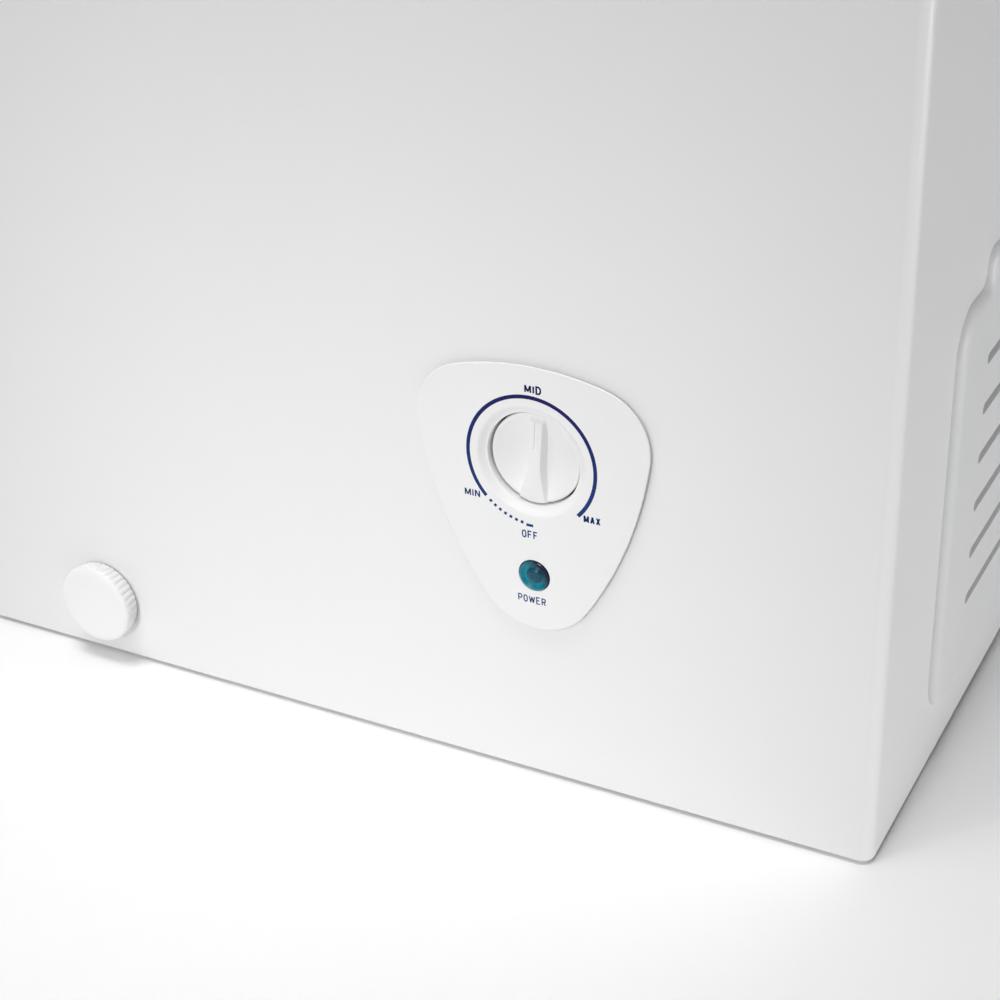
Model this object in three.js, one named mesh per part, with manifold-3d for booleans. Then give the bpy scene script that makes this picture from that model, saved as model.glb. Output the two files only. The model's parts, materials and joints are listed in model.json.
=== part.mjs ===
// A 7 cubic foot chest freezer: cabinet, lid, basket, machine bay, controls and drain.
// Millimetres, +Z up, +X to the right as seen from the front, the front faces -Y.
import * as THREE from "three";
import { mergeVertices } from "three/addons/utils/BufferGeometryUtils.js";
import Module from "manifold-3d";

const wasm = await Module();
wasm.setup();

// ---------------------------------------------------------------- driving dimensions

const GAP = 0.3; // between faces that touch
const CABINET_WIDTH = 807;
const CABINET_DEPTH = 520; // front skin to rear skin
const CABINET_TOP = 778; // top edge of the steel skin above the floor
const CABINET_BOTTOM = 2; // bottom edge of the steel skin above the floor
const CORNER_RADIUS = 6; // upright edges of the skin
const SKIN = 1; // painted steel
const WALL = 58; // outer face of the skin to the outer face of the liner
const LINER_SKIN = 1.2;
const LINER_FOLD = 12; // bend radius of the liner's long edges
const LINER_CORNER = 32; // upright corners of the tub
const TUB_UNDERSIDE = 68; // underside of the liner above the floor
const PAN_RECESS = 1; // base pan above the skin's bottom edge

// Machine bay, right-hand end
const BAY_WIDTH = 232; // right side of the cabinet to the bulkhead
const BAY_TOP = 245; // top of the bay's ceiling above the floor
const STEP_FOAM = 55; // insulation over and beside the bay
const BAY_FRAME = { left: 14, right: 26, bottom: 19, top: 17 }; // rear skin round the bay's opening

// Top frame with the ledge that carries the basket
const DECK = 4;
const LIP = 3;
const LEDGE_DROP = 27; // ledge below the cabinet's top edge
const LEDGE_WIDTH = 10;

// Lid
const LID_OVERHANG = 4;
const LID_HEIGHT = 62;
const LID_LIFT = 10; // lid's bottom edge above the cabinet's top edge
const LID_CORNER = 12;
const LID_EDGE = 8;
const LID_LINER = 2;
const PLUG_DROP = 18; // raised middle of the lid liner, below the lid's bottom edge
const PLUG_CLEARANCE = 8; // to the ledge
const PLUG_CORNER = 26;
const GASKET_INSET = 6;
const GASKET_WIDTH = 16;
const HANDLE_WIDTH = 144;
const HANDLE_DEPTH = 24;
const HANDLE_HEIGHT = 40;
const HANDLE_WALL = 4;
const HANDLE_LIFT = 4; // above the lid's bottom edge

// Hinges
const HINGE_SPREAD = 270; // from the middle of the cabinet
const HINGE_BACK = 16; // pin behind the rear skin
const HINGE_RISE = 7; // pin above the cabinet's top edge
const PIN_RADIUS = 4;
const PIN_CLEARANCE = 0.5;
const KNUCKLE_RADIUS = 9;
const KNUCKLE_LENGTH = 32;
const EAR_THICKNESS = 4;
const EAR_CLEARANCE = 1;
const EAR_DEPTH = 40; // foot of the ears below the bracket's top
const PIN_END = 2; // pin past each ear
const HINGE_PLATE = 2;
const HINGE_PLATE_WIDTH = 60;
const BRACKET_HEIGHT = 70;
const BRACKET_DROP = 6; // bracket's top below the cabinet's top edge
const ARM_HEIGHT = 46;
const ARM_RISE = 5; // arm's foot above the lid's bottom edge
const ARM_WEB = { low: 2, high: 34 }; // web to the knuckle, from the arm's foot

// Basket
const BASKET_LENGTH = 300;
const BASKET_HEIGHT = 200;
const BASKET_WALL = 3;
const BASKET_CLEARANCE = 4; // to the ledge's edge
const BASKET_LAP = 7; // hook over the ledge

// Controls, on the front over the machine bay
const DIAL_FROM_BULKHEAD = 75.8; // dial axis from the bay's left wall
const DIAL_HEIGHT = 160.6; // dial axis above the cabinet's bottom edge
const FASCIA_PROUD = 2.4;
const FASCIA_TOP = 44; // above the dial axis
const FASCIA_ARCS = [
  { radius: 129, sweep: 15.8 }, // top edge
  { radius: 27, sweep: 82.5 }, // upper corner
  { radius: 190, sweep: 25.5 }, // side
]; // the bottom arc closes the outline on its axis
const DISH_RADIUS = 25.7;
const DISH_DEPTH = 2.4;
const KNOB_RADIUS = 20.9;
const KNOB_CLEARANCE = 0.9;
const KNOB_SETBACK = 4.6; // rim behind the fascia's face
const KNOB_SCOOP = 4.2; // finger scoops below the rim
const KNOB_THICKNESS = 7.6;
const KNOB_RIM = 1.6;
const GRIP_PROUD = 1.6; // grip bar in front of the rim
const GRIP_HALF = 3.4;
const GRIP_FLARE = 6.2; // half width at the foot of the bar
const KNOB_TURN = 4.4; // degrees clockwise from upright, at rest
const HUB_RADIUS = 7;
const HUB_LENGTH = 3;
const SHAFT_RADIUS = 3;
const SHAFT_LENGTH = 20.5;
const SHAFT_ENTRY = 6; // depth of the shaft in the thermostat
const SHAFT_CLEARANCE = 0.6;
const HUB_CLEARANCE = 2; // knob's hub to the thermostat's neck
const LENS_RADIUS = 7.1;
const LENS_DROP = 55.1; // lens below the dial axis
const LENS_CLEARANCE = 0.4;
const LENS_LENGTH = 9.7;
const CUP_WALL = 2.3;
const CUP_DEPTH = 9;
const OPENING_CLEARANCE = 1; // round what passes through the skin
const CONTROL_BOX_HALF = 38;
const CONTROL_BOX_ABOVE = 38;
const CONTROL_BOX_BELOW = 72;
const CONTROL_BOX_DEPTH = 57;
const CONTROL_BOX_WALL = 2;
const CONTROL_BOX_HOLE = { half: 14, low: -30, high: -2 }; // for the cables, from the dial axis
const THERMOSTAT = { width: 34, height: 28, depth: 28, neck: 6.5, neckLength: 7 };
const LAMP_RADIUS = 5;
const LAMP_LENGTH = 20;

// Drain
const DRAIN_HEIGHT = 32; // spout axis above the cabinet's bottom edge
const DRAIN_BACK = 102; // tub's drain hole behind the front skin
const DRAIN_BORE = 9;
const SPOUT_RADIUS = 14;
const SPOUT_PROUD = 6.7;
const SPOUT_LENGTH = 46;
const SPOUT_FLANGE = 19;
const SPOUT_FLANGE_THICKNESS = 3;
const PIPE_RADIUS = 12;
const CAP_RADIUS = 21.2;
const CAP_PROUD = 10.6;
const CAP_STANDOFF = 0.9; // skirt in front of the skin
const CAP_WALL = 2;
const CAP_CLEARANCE = 0.6; // to the spout
const WASHER_THICKNESS = 1.3;
const PLUG_FLANGE = 17;
const PLUG_FLANGE_THICKNESS = 3;
const PLUG_TAB = { half: 6, thickness: 3, height: 9 };
const PLUG_STEM = 8.4;
const PLUG_STEM_LENGTH = 12;

// Side vent, over the machine bay
const VENT_FRONT = 72; // behind the front skin
const VENT_LENGTH = 288;
const VENT_BOTTOM = 28.5; // above the cabinet's bottom edge
const VENT_HEIGHT = 194.5;
const VENT_PROUD = 3.8;
const VENT_CORNER = 20;
const VENT_SLOTS = 6;
const VENT_SLOT_PITCH = 23.7;
const VENT_SLOT_HEIGHT = 6;
const VENT_SLOT_CORNER = 2.7;
const VENT_LOWEST_SLOT = 73; // slot's middle above the cabinet's bottom edge
const VENT_SLOT_INSET = 38; // from each end of the cover
const VENT_EAR = { half: 22, height: 15, corner: 14, from: 61 };
const VENT_OPENING_INSET = 16;
const SCREW = { head: 4.2, headHeight: 1.8, shank: 2, length: 9, clearance: 0.4 };

// Rear grille
const GRILLE_SLOTS = 11;
const GRILLE_SLOT_HEIGHT = 5;
const GRILLE_SLOT_PITCH = 15;
const GRILLE_SHEET = 1.5;
const GRILLE_BORDER = 22; // slots from the grille's upright edges
const GRILLE_LAP = 10; // round the opening in the rear skin
const GRILLE_SCREW_INSET = 20;
const GLAND_FROM_CORNER = { x: 34, z: 24 }; // on the grille's lower left
const GLAND = { flange: 11, neck: 7, bore: 4, flangeThickness: 3, inside: 9 };

// Refrigeration
const TUBE_RADIUS = 3.2;
const TUBE_BEND = 18;
const BEND_ROOM = 14; // foam cleared inside a tube's bend
const CHANNEL_SPARE = 1; // foam's channel round a coil's tube
const COIL_RISE = 30; // lowest run above the step over the bay
const COIL_HEADROOM = 68; // highest run below the cabinet's top edge
const CONDENSER_RUNS = 6;
const CONDENSER_REAR = 60; // U-bends in front of the rear skin
const EVAPORATOR_RUNS = 5;
const EVAPORATOR_REAR = 98;
const COIL_TAIL = 15; // ends of the coils below the bay's ceiling
const COIL_RETURN = 20; // condenser's return line behind its U-bends
const COMPRESSOR = { radius: 78, height: 150, fromBack: 170 };
const SUCTION_ENTRY = 128; // heights at which the lines meet the compressor
const DISCHARGE_ENTRY = 96;
const MOUNT_PLATE = 3;
const MOUNT_SPAN_X = 80; // bolt from the compressor's axis
const MOUNT_SPAN_Y = 60;
const MOUNT_EDGE = 13;
const TRAY = 2;
const TRAY_FLANGE = 12;
const TRAY_FRONT = 20;
const GROMMET = { radius: 10, bore: 4.4, height: 18 };
const BOLT = { radius: 3.5, head: 6.5, headHeight: 4 };
const STARTER = { width: 60, depth: 30, height: 60, lift: 44 };
const TERMINAL_HALF = 24;
const DRIER_RADIUS = 9;
const DRIER_LENGTH = 110;
const DRIER_TOP = 172;
const DRIER_FROM_SKIN = 22;
const DRIER_ELBOW = 30; // line's elbow above the drier
const CAPILLARY_RADIUS = 1.2;
const CAPILLARY_LOOP = 20;
const CAPILLARY_RISE = 11.2; // climb of each loop
const CAPILLARY_FROM_DRIER = 50;
const CAPILLARY_DIP = 14; // lowest point below the drier
const PASSAGE_RISE = 24; // small tubes' passage into the foam over the bay's ceiling
const SENSOR_OFFSET = 8; // sensing tube beside the dial axis
const SENSOR_Y = 86;
const CABLE_DROP = 9; // cables leave the thermostat below the dial axis
const HARNESS = { radius: 3, offset: 4, straight: 55 };

// Feet
const FOOT_RADIUS = 18;
const FOOT_INSET = 40;
const FOOT_STEM = 4;
const FOOT_STEM_LENGTH = 9;

// ---------------------------------------------------------------- derived stations

const RIGHT = CABINET_WIDTH / 2;
const INNER_RIGHT = RIGHT - SKIN;
const BACK = CABINET_DEPTH;
const PAN_Z = CABINET_BOTTOM + PAN_RECESS;
const BULKHEAD_X = RIGHT - BAY_WIDTH;
const STEP_X = BULKHEAD_X - STEP_FOAM;
const STEP_Z = BAY_TOP + STEP_FOAM;
const LINER_X = RIGHT - WALL;
const COIL_BOTTOM = STEP_Z + COIL_RISE;
const COIL_SPAN = CABINET_TOP - COIL_HEADROOM - COIL_BOTTOM;
const CONDENSER_PITCH = COIL_SPAN / (CONDENSER_RUNS - 1);
const EVAPORATOR_PITCH = COIL_SPAN / (EVAPORATOR_RUNS - 1);
const DECK_TOP = CABINET_TOP + GAP + DECK;
const LIP_X = LINER_X - LINER_SKIN - GAP - LIP; // inner face of the frame's lip
const LIP_INSET = RIGHT - LIP_X; // the same face, from the cabinet's outer faces
const LEDGE_INSET = LIP_INSET + LEDGE_WIDTH;
const LEDGE_TOP = CABINET_TOP - LEDGE_DROP;
const LID_BOTTOM = CABINET_TOP + LID_LIFT;
const LID_TOP = LID_BOTTOM + LID_HEIGHT;
const PLUG_BOTTOM = LID_BOTTOM - PLUG_DROP;
const PLUG_INSET = LEDGE_INSET + PLUG_CLEARANCE;
const HINGE_Y = BACK + HINGE_BACK;
const HINGE_Z = CABINET_TOP + HINGE_RISE;
const DIAL_X = BULKHEAD_X + DIAL_FROM_BULKHEAD;
const DIAL_Z = CABINET_BOTTOM + DIAL_HEIGHT;
const LENS_Z = DIAL_Z - LENS_DROP;
const KNOB_RIM_Y = KNOB_SETBACK - FASCIA_PROUD;
const DRAIN_Z = CABINET_BOTTOM + DRAIN_HEIGHT;
const COMPRESSOR_X = (BULKHEAD_X + INNER_RIGHT) / 2;
const COMPRESSOR_Y = BACK - COMPRESSOR.fromBack;
const TRAY_TOP = PAN_Z + TRAY;
const MOUNT_Z = TRAY_TOP + GROMMET.height + 2 * GAP;
const THERMOSTAT_Y = KNOB_RIM_Y + KNOB_THICKNESS + HUB_LENGTH + HUB_CLEARANCE
  + THERMOSTAT.neckLength;
const CONDENSER_X = INNER_RIGHT - GAP - TUBE_RADIUS - CHANNEL_SPARE / 2;
const CONDENSER_Y = BACK - CONDENSER_REAR;
const EVAPORATOR_X = LINER_X + GAP + TUBE_RADIUS + CHANNEL_SPARE / 2;
const EVAPORATOR_Y = BACK - EVAPORATOR_REAR;
const TAIL_Z = BAY_TOP - COIL_TAIL;
const SENSOR_X = DIAL_X + SENSOR_OFFSET;
const DRIER_X = INNER_RIGHT - DRIER_FROM_SKIN;
const DRIER_Y = CONDENSER_Y + COIL_RETURN;
const CAPILLARY_X = DRIER_X - CAPILLARY_FROM_DRIER;
const CAPILLARY_Y = DRIER_Y;
const VENT_BACK = VENT_FRONT + VENT_LENGTH;
const VENT_Z = CABINET_BOTTOM + VENT_BOTTOM;
const VENT_TOP = VENT_Z + VENT_HEIGHT;
const VENT_SCREWS = [VENT_FRONT + VENT_EAR.from, VENT_BACK - VENT_EAR.from];
const BAY_OPENING = {
  left: BULKHEAD_X + BAY_FRAME.left, right: RIGHT - BAY_FRAME.right,
  bottom: CABINET_BOTTOM + BAY_FRAME.bottom, top: BAY_TOP - BAY_FRAME.top,
};
const GRILLE = {
  left: BAY_OPENING.left - GRILLE_LAP, right: BAY_OPENING.right + GRILLE_LAP,
  bottom: BAY_OPENING.bottom - GRILLE_LAP, top: BAY_OPENING.top + GRILLE_LAP,
};
const GRILLE_SCREW_Z = GRILLE.top - GRILLE_LAP / 2;
const GRILLE_SCREWS = [
  BAY_OPENING.left + GRILLE_SCREW_INSET, BAY_OPENING.right - GRILLE_SCREW_INSET,
];
const GLAND_X = GRILLE.left + GLAND_FROM_CORNER.x;
const GLAND_Z = GRILLE.bottom + GLAND_FROM_CORNER.z;
const SCREW_HOLE = SCREW.shank + SCREW.clearance;
const FEET = [
  ["foot_front_left", -RIGHT + FOOT_INSET, FOOT_INSET],
  ["foot_front_right", RIGHT - FOOT_INSET, FOOT_INSET],
  ["foot_rear_left", -RIGHT + FOOT_INSET, BACK - FOOT_INSET],
  ["foot_rear_right", RIGHT - FOOT_INSET, BACK - FOOT_INSET],
];

// ---------------------------------------------------------------- solids

/** A closed geometry as a solid, its shared vertices merged. */
function toSolid(geometry) {
  const bare = geometry.clone();
  bare.deleteAttribute("normal");
  bare.deleteAttribute("uv");
  const merged = mergeVertices(bare, 1e-4);
  return new wasm.Manifold(new wasm.Mesh({
    numProp: 3,
    vertProperties: merged.attributes.position.array,
    triVerts: new Uint32Array(merged.index.array),
  }));
}

/** A solid as a flat-shaded geometry. */
function toGeometry(solid) {
  const mesh = solid.getMesh();
  const indexed = new THREE.BufferGeometry()
    .setAttribute("position", new THREE.BufferAttribute(new Float32Array(mesh.vertProperties), 3))
    .setIndex(new THREE.BufferAttribute(new Uint32Array(mesh.triVerts), 1));
  const flat = indexed.toNonIndexed();
  flat.computeVertexNormals();
  return flat;
}

const join = (first, ...others) =>
  toGeometry(others.reduce((whole, piece) => whole.add(toSolid(piece)), toSolid(first)));
const cut = (body, ...tools) =>
  toGeometry(tools.reduce((rest, tool) => rest.subtract(toSolid(tool)), toSolid(body)));
const common = (one, other) => toGeometry(toSolid(one).intersect(toSolid(other)));

/** A rectangular block between its faces. */
function box(x0, x1, y0, y1, z0, z1) {
  return new THREE.BoxGeometry(x1 - x0, y1 - y0, z1 - z0)
    .translate((x0 + x1) / 2, (y0 + y1) / 2, (z0 + z1) / 2);
}

/** A round bar along an axis; u and v place it on the other two axes, in X, Y, Z order. */
function rod(axis, from, to, u, v, radius, sides = 20) {
  const bar = new THREE.CylinderGeometry(radius, radius, to - from, sides);
  const middle = (from + to) / 2;
  if (axis === "x") return bar.rotateZ(-Math.PI / 2).translate(middle, u, v);
  if (axis === "y") return bar.translate(u, middle, v);
  return bar.rotateX(Math.PI / 2).translate(u, v, middle);
}

/** A solid of revolution about Y from [radius, station] points that start and end on the axis. */
function turned(profile, sides = 24) {
  return new THREE.LatheGeometry(profile.map(([r, y]) => new THREE.Vector2(r, y)), sides);
}

/** A ring of revolution about Y: a rectangle of radii and stations. */
function ring(inner, outer, from, to, sides = 16) {
  return turned([[outer, from], [outer, to], [inner, to], [inner, from], [outer, from]], sides);
}

const upright = (geometry) => geometry.rotateX(Math.PI / 2);

/** Extrudes an outline along an axis: (x, y) along z, (x, z) along y, or (y, z) along x. */
function slab(outline, axis, from, to, curveSegments = 4) {
  const body = new THREE.ExtrudeGeometry(outline, {
    depth: to - from, bevelEnabled: false, curveSegments,
  });
  if (axis === "z") return body.translate(0, 0, from);
  if (axis === "y") return body.rotateX(Math.PI / 2).translate(0, to, 0);
  const turn = new THREE.Matrix4().makeBasis(
    new THREE.Vector3(0, 1, 0), new THREE.Vector3(0, 0, 1), new THREE.Vector3(1, 0, 0),
  );
  return body.applyMatrix4(turn).translate(from, 0, 0);
}

/** An outline through its corners, each rounded by its radius. Corners are [u, v, radius]. */
function rounded(corners) {
  const outline = new THREE.Shape();
  const points = corners.map(([u, v]) => new THREE.Vector2(u, v));
  corners.forEach(([, , radius = 0], i) => {
    const at = points[i];
    const before = points[(i + points.length - 1) % points.length];
    const after = points[(i + 1) % points.length];
    const entry = at.clone().add(before.clone().sub(at).setLength(radius));
    const exit = at.clone().add(after.clone().sub(at).setLength(radius));
    if (i === 0) outline.moveTo(entry.x, entry.y);
    else outline.lineTo(entry.x, entry.y);
    if (radius > 0) outline.quadraticCurveTo(at.x, at.y, exit.x, exit.y);
  });
  outline.closePath();
  return outline;
}

const rectangle = (u0, u1, v0, v1, radius = 0) =>
  rounded([[u0, v0, radius], [u1, v0, radius], [u1, v1, radius], [u0, v1, radius]]);

/** The cabinet's plan outline, drawn in by an inset on all four sides. */
const plan = (inset, radius) => rectangle(-RIGHT + inset, RIGHT - inset, inset, BACK - inset, radius);

/** A flat ring between two plan outlines. */
function planRing(outerInset, innerInset, from, to, radius, innerRadius = radius) {
  const outline = plan(outerInset, radius);
  outline.holes.push(plan(innerInset, innerRadius));
  return slab(outline, "z", from, to, 3);
}

/** A block with rounded upright corners and rounded top edges, square at the bottom. */
function pillow(inset, bottom, top, corner, edge) {
  const core = rectangle(
    -RIGHT + inset + edge, RIGHT - inset - edge, inset + edge, BACK - inset - edge, corner - edge,
  );
  const body = new THREE.ExtrudeGeometry(core, {
    depth: top - bottom, bevelThickness: edge, bevelSize: edge, bevelSegments: 3, curveSegments: 3,
  }).translate(0, 0, bottom - edge);
  const far = 2 * (CABINET_WIDTH + CABINET_DEPTH);
  return common(body, box(-far, far, -far, far, bottom, top + 1));
}

/** A tube's axis: straight runs with rounded corners, sampled only where it bends. */
class BentPath extends THREE.Curve {
  constructor(corners, bend, steps) {
    super();
    const points = corners.map((c) => new THREE.Vector3(...c));
    this.points = [points[0]];
    for (let i = 1; i < points.length - 1; i++) {
      const back = points[i - 1].clone().sub(points[i]);
      const ahead = points[i + 1].clone().sub(points[i]);
      const reach = Math.min(bend, back.length() * 0.45, ahead.length() * 0.45);
      const start = points[i].clone().add(back.setLength(reach));
      const end = points[i].clone().add(ahead.setLength(reach));
      const arc = new THREE.QuadraticBezierCurve3(start, points[i], end);
      this.points.push(...arc.getPoints(steps));
    }
    this.points.push(points[points.length - 1]);
  }
  get steps() {
    return this.points.length - 1;
  }
  getUtoTmapping(u) {
    return u;
  }
  getPoint(t) {
    const at = t * this.steps;
    const i = Math.min(Math.floor(at), this.steps - 1);
    return this.points[i].clone().lerp(this.points[i + 1], at - i);
  }
  getTangent(t) {
    const i = Math.round(t * this.steps);
    const before = this.points[i].clone().sub(this.points[Math.max(i - 1, 0)]).normalize();
    const after = this.points[Math.min(i + 1, this.steps)].clone().sub(this.points[i]).normalize();
    return before.add(after).normalize();
  }
}

/** A solid tube, such as a copper line, along straight runs with rounded corners. */
function tube(corners, radius, { bend = TUBE_BEND, steps = 2, sides = 6 } = {}) {
  const path = new BentPath(corners, bend, steps);
  const section = new THREE.Shape(Array.from({ length: sides }, (_, i) => {
    const angle = (2 * Math.PI * i) / sides;
    return new THREE.Vector2(radius * Math.cos(angle), radius * Math.sin(angle));
  }));
  return new THREE.ExtrudeGeometry(section, { steps: path.steps, extrudePath: path });
}

// ---------------------------------------------------------------- the group of named pieces

const group = new THREE.Group();
const centred = new THREE.Group(); // shifted so that the origin is the middle of the footprint
centred.position.y =
  -((BACK + HINGE_BACK + KNUCKLE_RADIUS) - (LID_OVERHANG + GAP + HANDLE_DEPTH)) / 2;
group.add(centred);

const FINISHES = {
  enamel: { color: 0xf0f0f0, roughness: 0.35, metalness: 0 },
  galvanised: { color: 0xa9adb0, roughness: 0.5, metalness: 0.9 },
  whitePlastic: { color: 0xf2f2f3, roughness: 0.45, metalness: 0 },
  greyPlastic: { color: 0xb9bcc0, roughness: 0.6, metalness: 0 },
  blackPlastic: { color: 0x26282b, roughness: 0.5, metalness: 0 },
  linerSheet: { color: 0xe4e7ea, roughness: 0.4, metalness: 0.4 },
  foam: { color: 0xe9d9a8, roughness: 0.95, metalness: 0 },
  copper: { color: 0xb36a42, roughness: 0.35, metalness: 1 },
  blackPaint: { color: 0x1b1c1e, roughness: 0.4, metalness: 0.3 },
  rubber: { color: 0x2c2d2f, roughness: 0.85, metalness: 0 },
  gasket: { color: 0xd9dadb, roughness: 0.7, metalness: 0 },
  zinc: { color: 0xc3c6c9, roughness: 0.3, metalness: 1 },
  tealLens: { color: 0x0b8c96, roughness: 0.12, metalness: 0 },
  basketCoat: { color: 0xf5f5f5, roughness: 0.4, metalness: 0 },
  cable: { color: 0x3a3c40, roughness: 0.7, metalness: 0 },
};

function piece(name, geometry, finish) {
  const mesh = new THREE.Mesh(geometry, new THREE.MeshStandardMaterial(FINISHES[finish]));
  mesh.name = name;
  centred.add(mesh);
  return mesh;
}

// ---------------------------------------------------------------- cabinet

/** Steel skin wrapped round the front and both sides, open at the back, top and bottom. */
function outerWrapper() {
  const end = BACK - SKIN - GAP;
  const inside = CORNER_RADIUS - SKIN;
  const wrap = rounded([
    [-RIGHT, 0, CORNER_RADIUS], [RIGHT, 0, CORNER_RADIUS], [RIGHT, end], [INNER_RIGHT, end],
    [INNER_RIGHT, SKIN, inside], [-INNER_RIGHT, SKIN, inside], [-INNER_RIGHT, end], [-RIGHT, end],
  ]);
  const opening = VENT_OPENING_INSET;
  return cut(
    slab(wrap, "z", CABINET_BOTTOM, CABINET_TOP),
    rod("y", -1, SKIN + 1, DIAL_X, DIAL_Z, DISH_RADIUS + CUP_WALL + OPENING_CLEARANCE, 24),
    rod("y", -1, SKIN + 1, DIAL_X, LENS_Z, LENS_RADIUS + CUP_WALL + OPENING_CLEARANCE, 16),
    rod("y", -1, SKIN + 1, 0, DRAIN_Z, SPOUT_RADIUS + CAP_CLEARANCE, 20),
    slab(
      rectangle(VENT_FRONT + opening, VENT_BACK - opening, VENT_Z + opening, VENT_TOP - opening, 4),
      "x", INNER_RIGHT - 1, RIGHT + 1, 2,
    ),
    ...VENT_SCREWS.map((y) => rod("x", INNER_RIGHT - 1, RIGHT + 1, y, VENT_TOP, SCREW_HOLE, 10)),
  );
}

/** The tub's side view: a deep left part and a step over the machine bay. */
function tubProfile(inset, top) {
  const fold = LINER_FOLD - inset;
  return rounded([
    [-LINER_X + inset, TUB_UNDERSIDE + inset, fold], [STEP_X - inset, TUB_UNDERSIDE + inset, fold],
    [STEP_X - inset, STEP_Z + inset, LINER_FOLD], [LINER_X - inset, STEP_Z + inset, fold],
    [LINER_X - inset, top], [-LINER_X + inset, top],
  ]);
}

/** A solid of the tub's shape, drawn in by an inset: its side view cut to its plan. */
function tubBlock(inset, top) {
  return common(
    slab(tubProfile(inset, top), "y", WALL + inset, BACK - WALL - inset, 3),
    slab(plan(WALL + inset, LINER_CORNER - inset), "z", 0, top + 1, 4),
  );
}

function innerLiner() {
  const t = LINER_SKIN;
  return cut(
    tubBlock(0, CABINET_TOP),
    tubBlock(t, CABINET_TOP + 1),
    rod("z", TUB_UNDERSIDE - 1, TUB_UNDERSIDE + t + 1, 0, DRAIN_BACK, DRAIN_BORE),
  );
}

/** Bottom sheet, bulkhead and ceiling of the machine bay, in one folded pan. */
function basePan() {
  const left = -INNER_RIGHT + GAP;
  const right = INNER_RIGHT - GAP;
  const folded = new THREE.Shape([
    [left, PAN_Z], [BULKHEAD_X, PAN_Z], [BULKHEAD_X, BAY_TOP - SKIN], [right, BAY_TOP - SKIN],
    [right, BAY_TOP], [BULKHEAD_X - SKIN, BAY_TOP], [BULKHEAD_X - SKIN, PAN_Z + SKIN],
    [left, PAN_Z + SKIN],
  ].map(([x, z]) => new THREE.Vector2(x, z)));
  return cut(
    slab(folded, "y", CORNER_RADIUS, BACK - SKIN - GAP),
    ...FEET.filter(([, x]) => x < BULKHEAD_X).map(([, x, y]) => footStemHole(x, y)),
    ...ceilingPassages(),
  );
}

const footStemHole = (x, y) => rod(
  "z", PAN_Z - 1, PAN_Z + FOOT_STEM_LENGTH + 1, x, y, FOOT_STEM + 0.5, 12,
);

/** Holes through the bay's ceiling for the coils' tails, the capillary and the sensing tube. */
function ceilingPassages() {
  const room = TUBE_RADIUS + CHANNEL_SPARE;
  const small = CAPILLARY_RADIUS + CHANNEL_SPARE;
  return [
    rod("z", BAY_TOP - 2, COIL_BOTTOM, CONDENSER_X, CONDENSER_Y, room, 8),
    rod("z", BAY_TOP - 2, COIL_BOTTOM, EVAPORATOR_X, EVAPORATOR_Y, room, 8),
    rod("z", BAY_TOP - 2, COIL_BOTTOM, CONDENSER_X, CONDENSER_Y + COIL_RETURN, room, 8),
    rod("z", BAY_TOP - 2, BAY_TOP + PASSAGE_RISE, SENSOR_X, SENSOR_Y, small, 8),
    rod("z", BAY_TOP - 2, BAY_TOP + PASSAGE_RISE, CAPILLARY_X, CAPILLARY_Y, small, 8),
  ];
}

/** Upright slots in the foam for a coil's U-bends and for its tail down to the machine bay. */
function bendSlots(x, y, bottom, runs, pitch) {
  const room = TUBE_RADIUS + CHANNEL_SPARE;
  const slot = (side, low, high) => box(
    side * x - room, side * x + room, y - room - BEND_ROOM, y + room, low, high,
  );
  const bends = Array.from({ length: runs - 1 }, (_, k) =>
    slot(k % 2 === 0 ? -1 : 1, bottom + k * pitch, bottom + (k + 1) * pitch));
  return [slot(1, BAY_TOP, bottom), ...bends];
}

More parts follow.
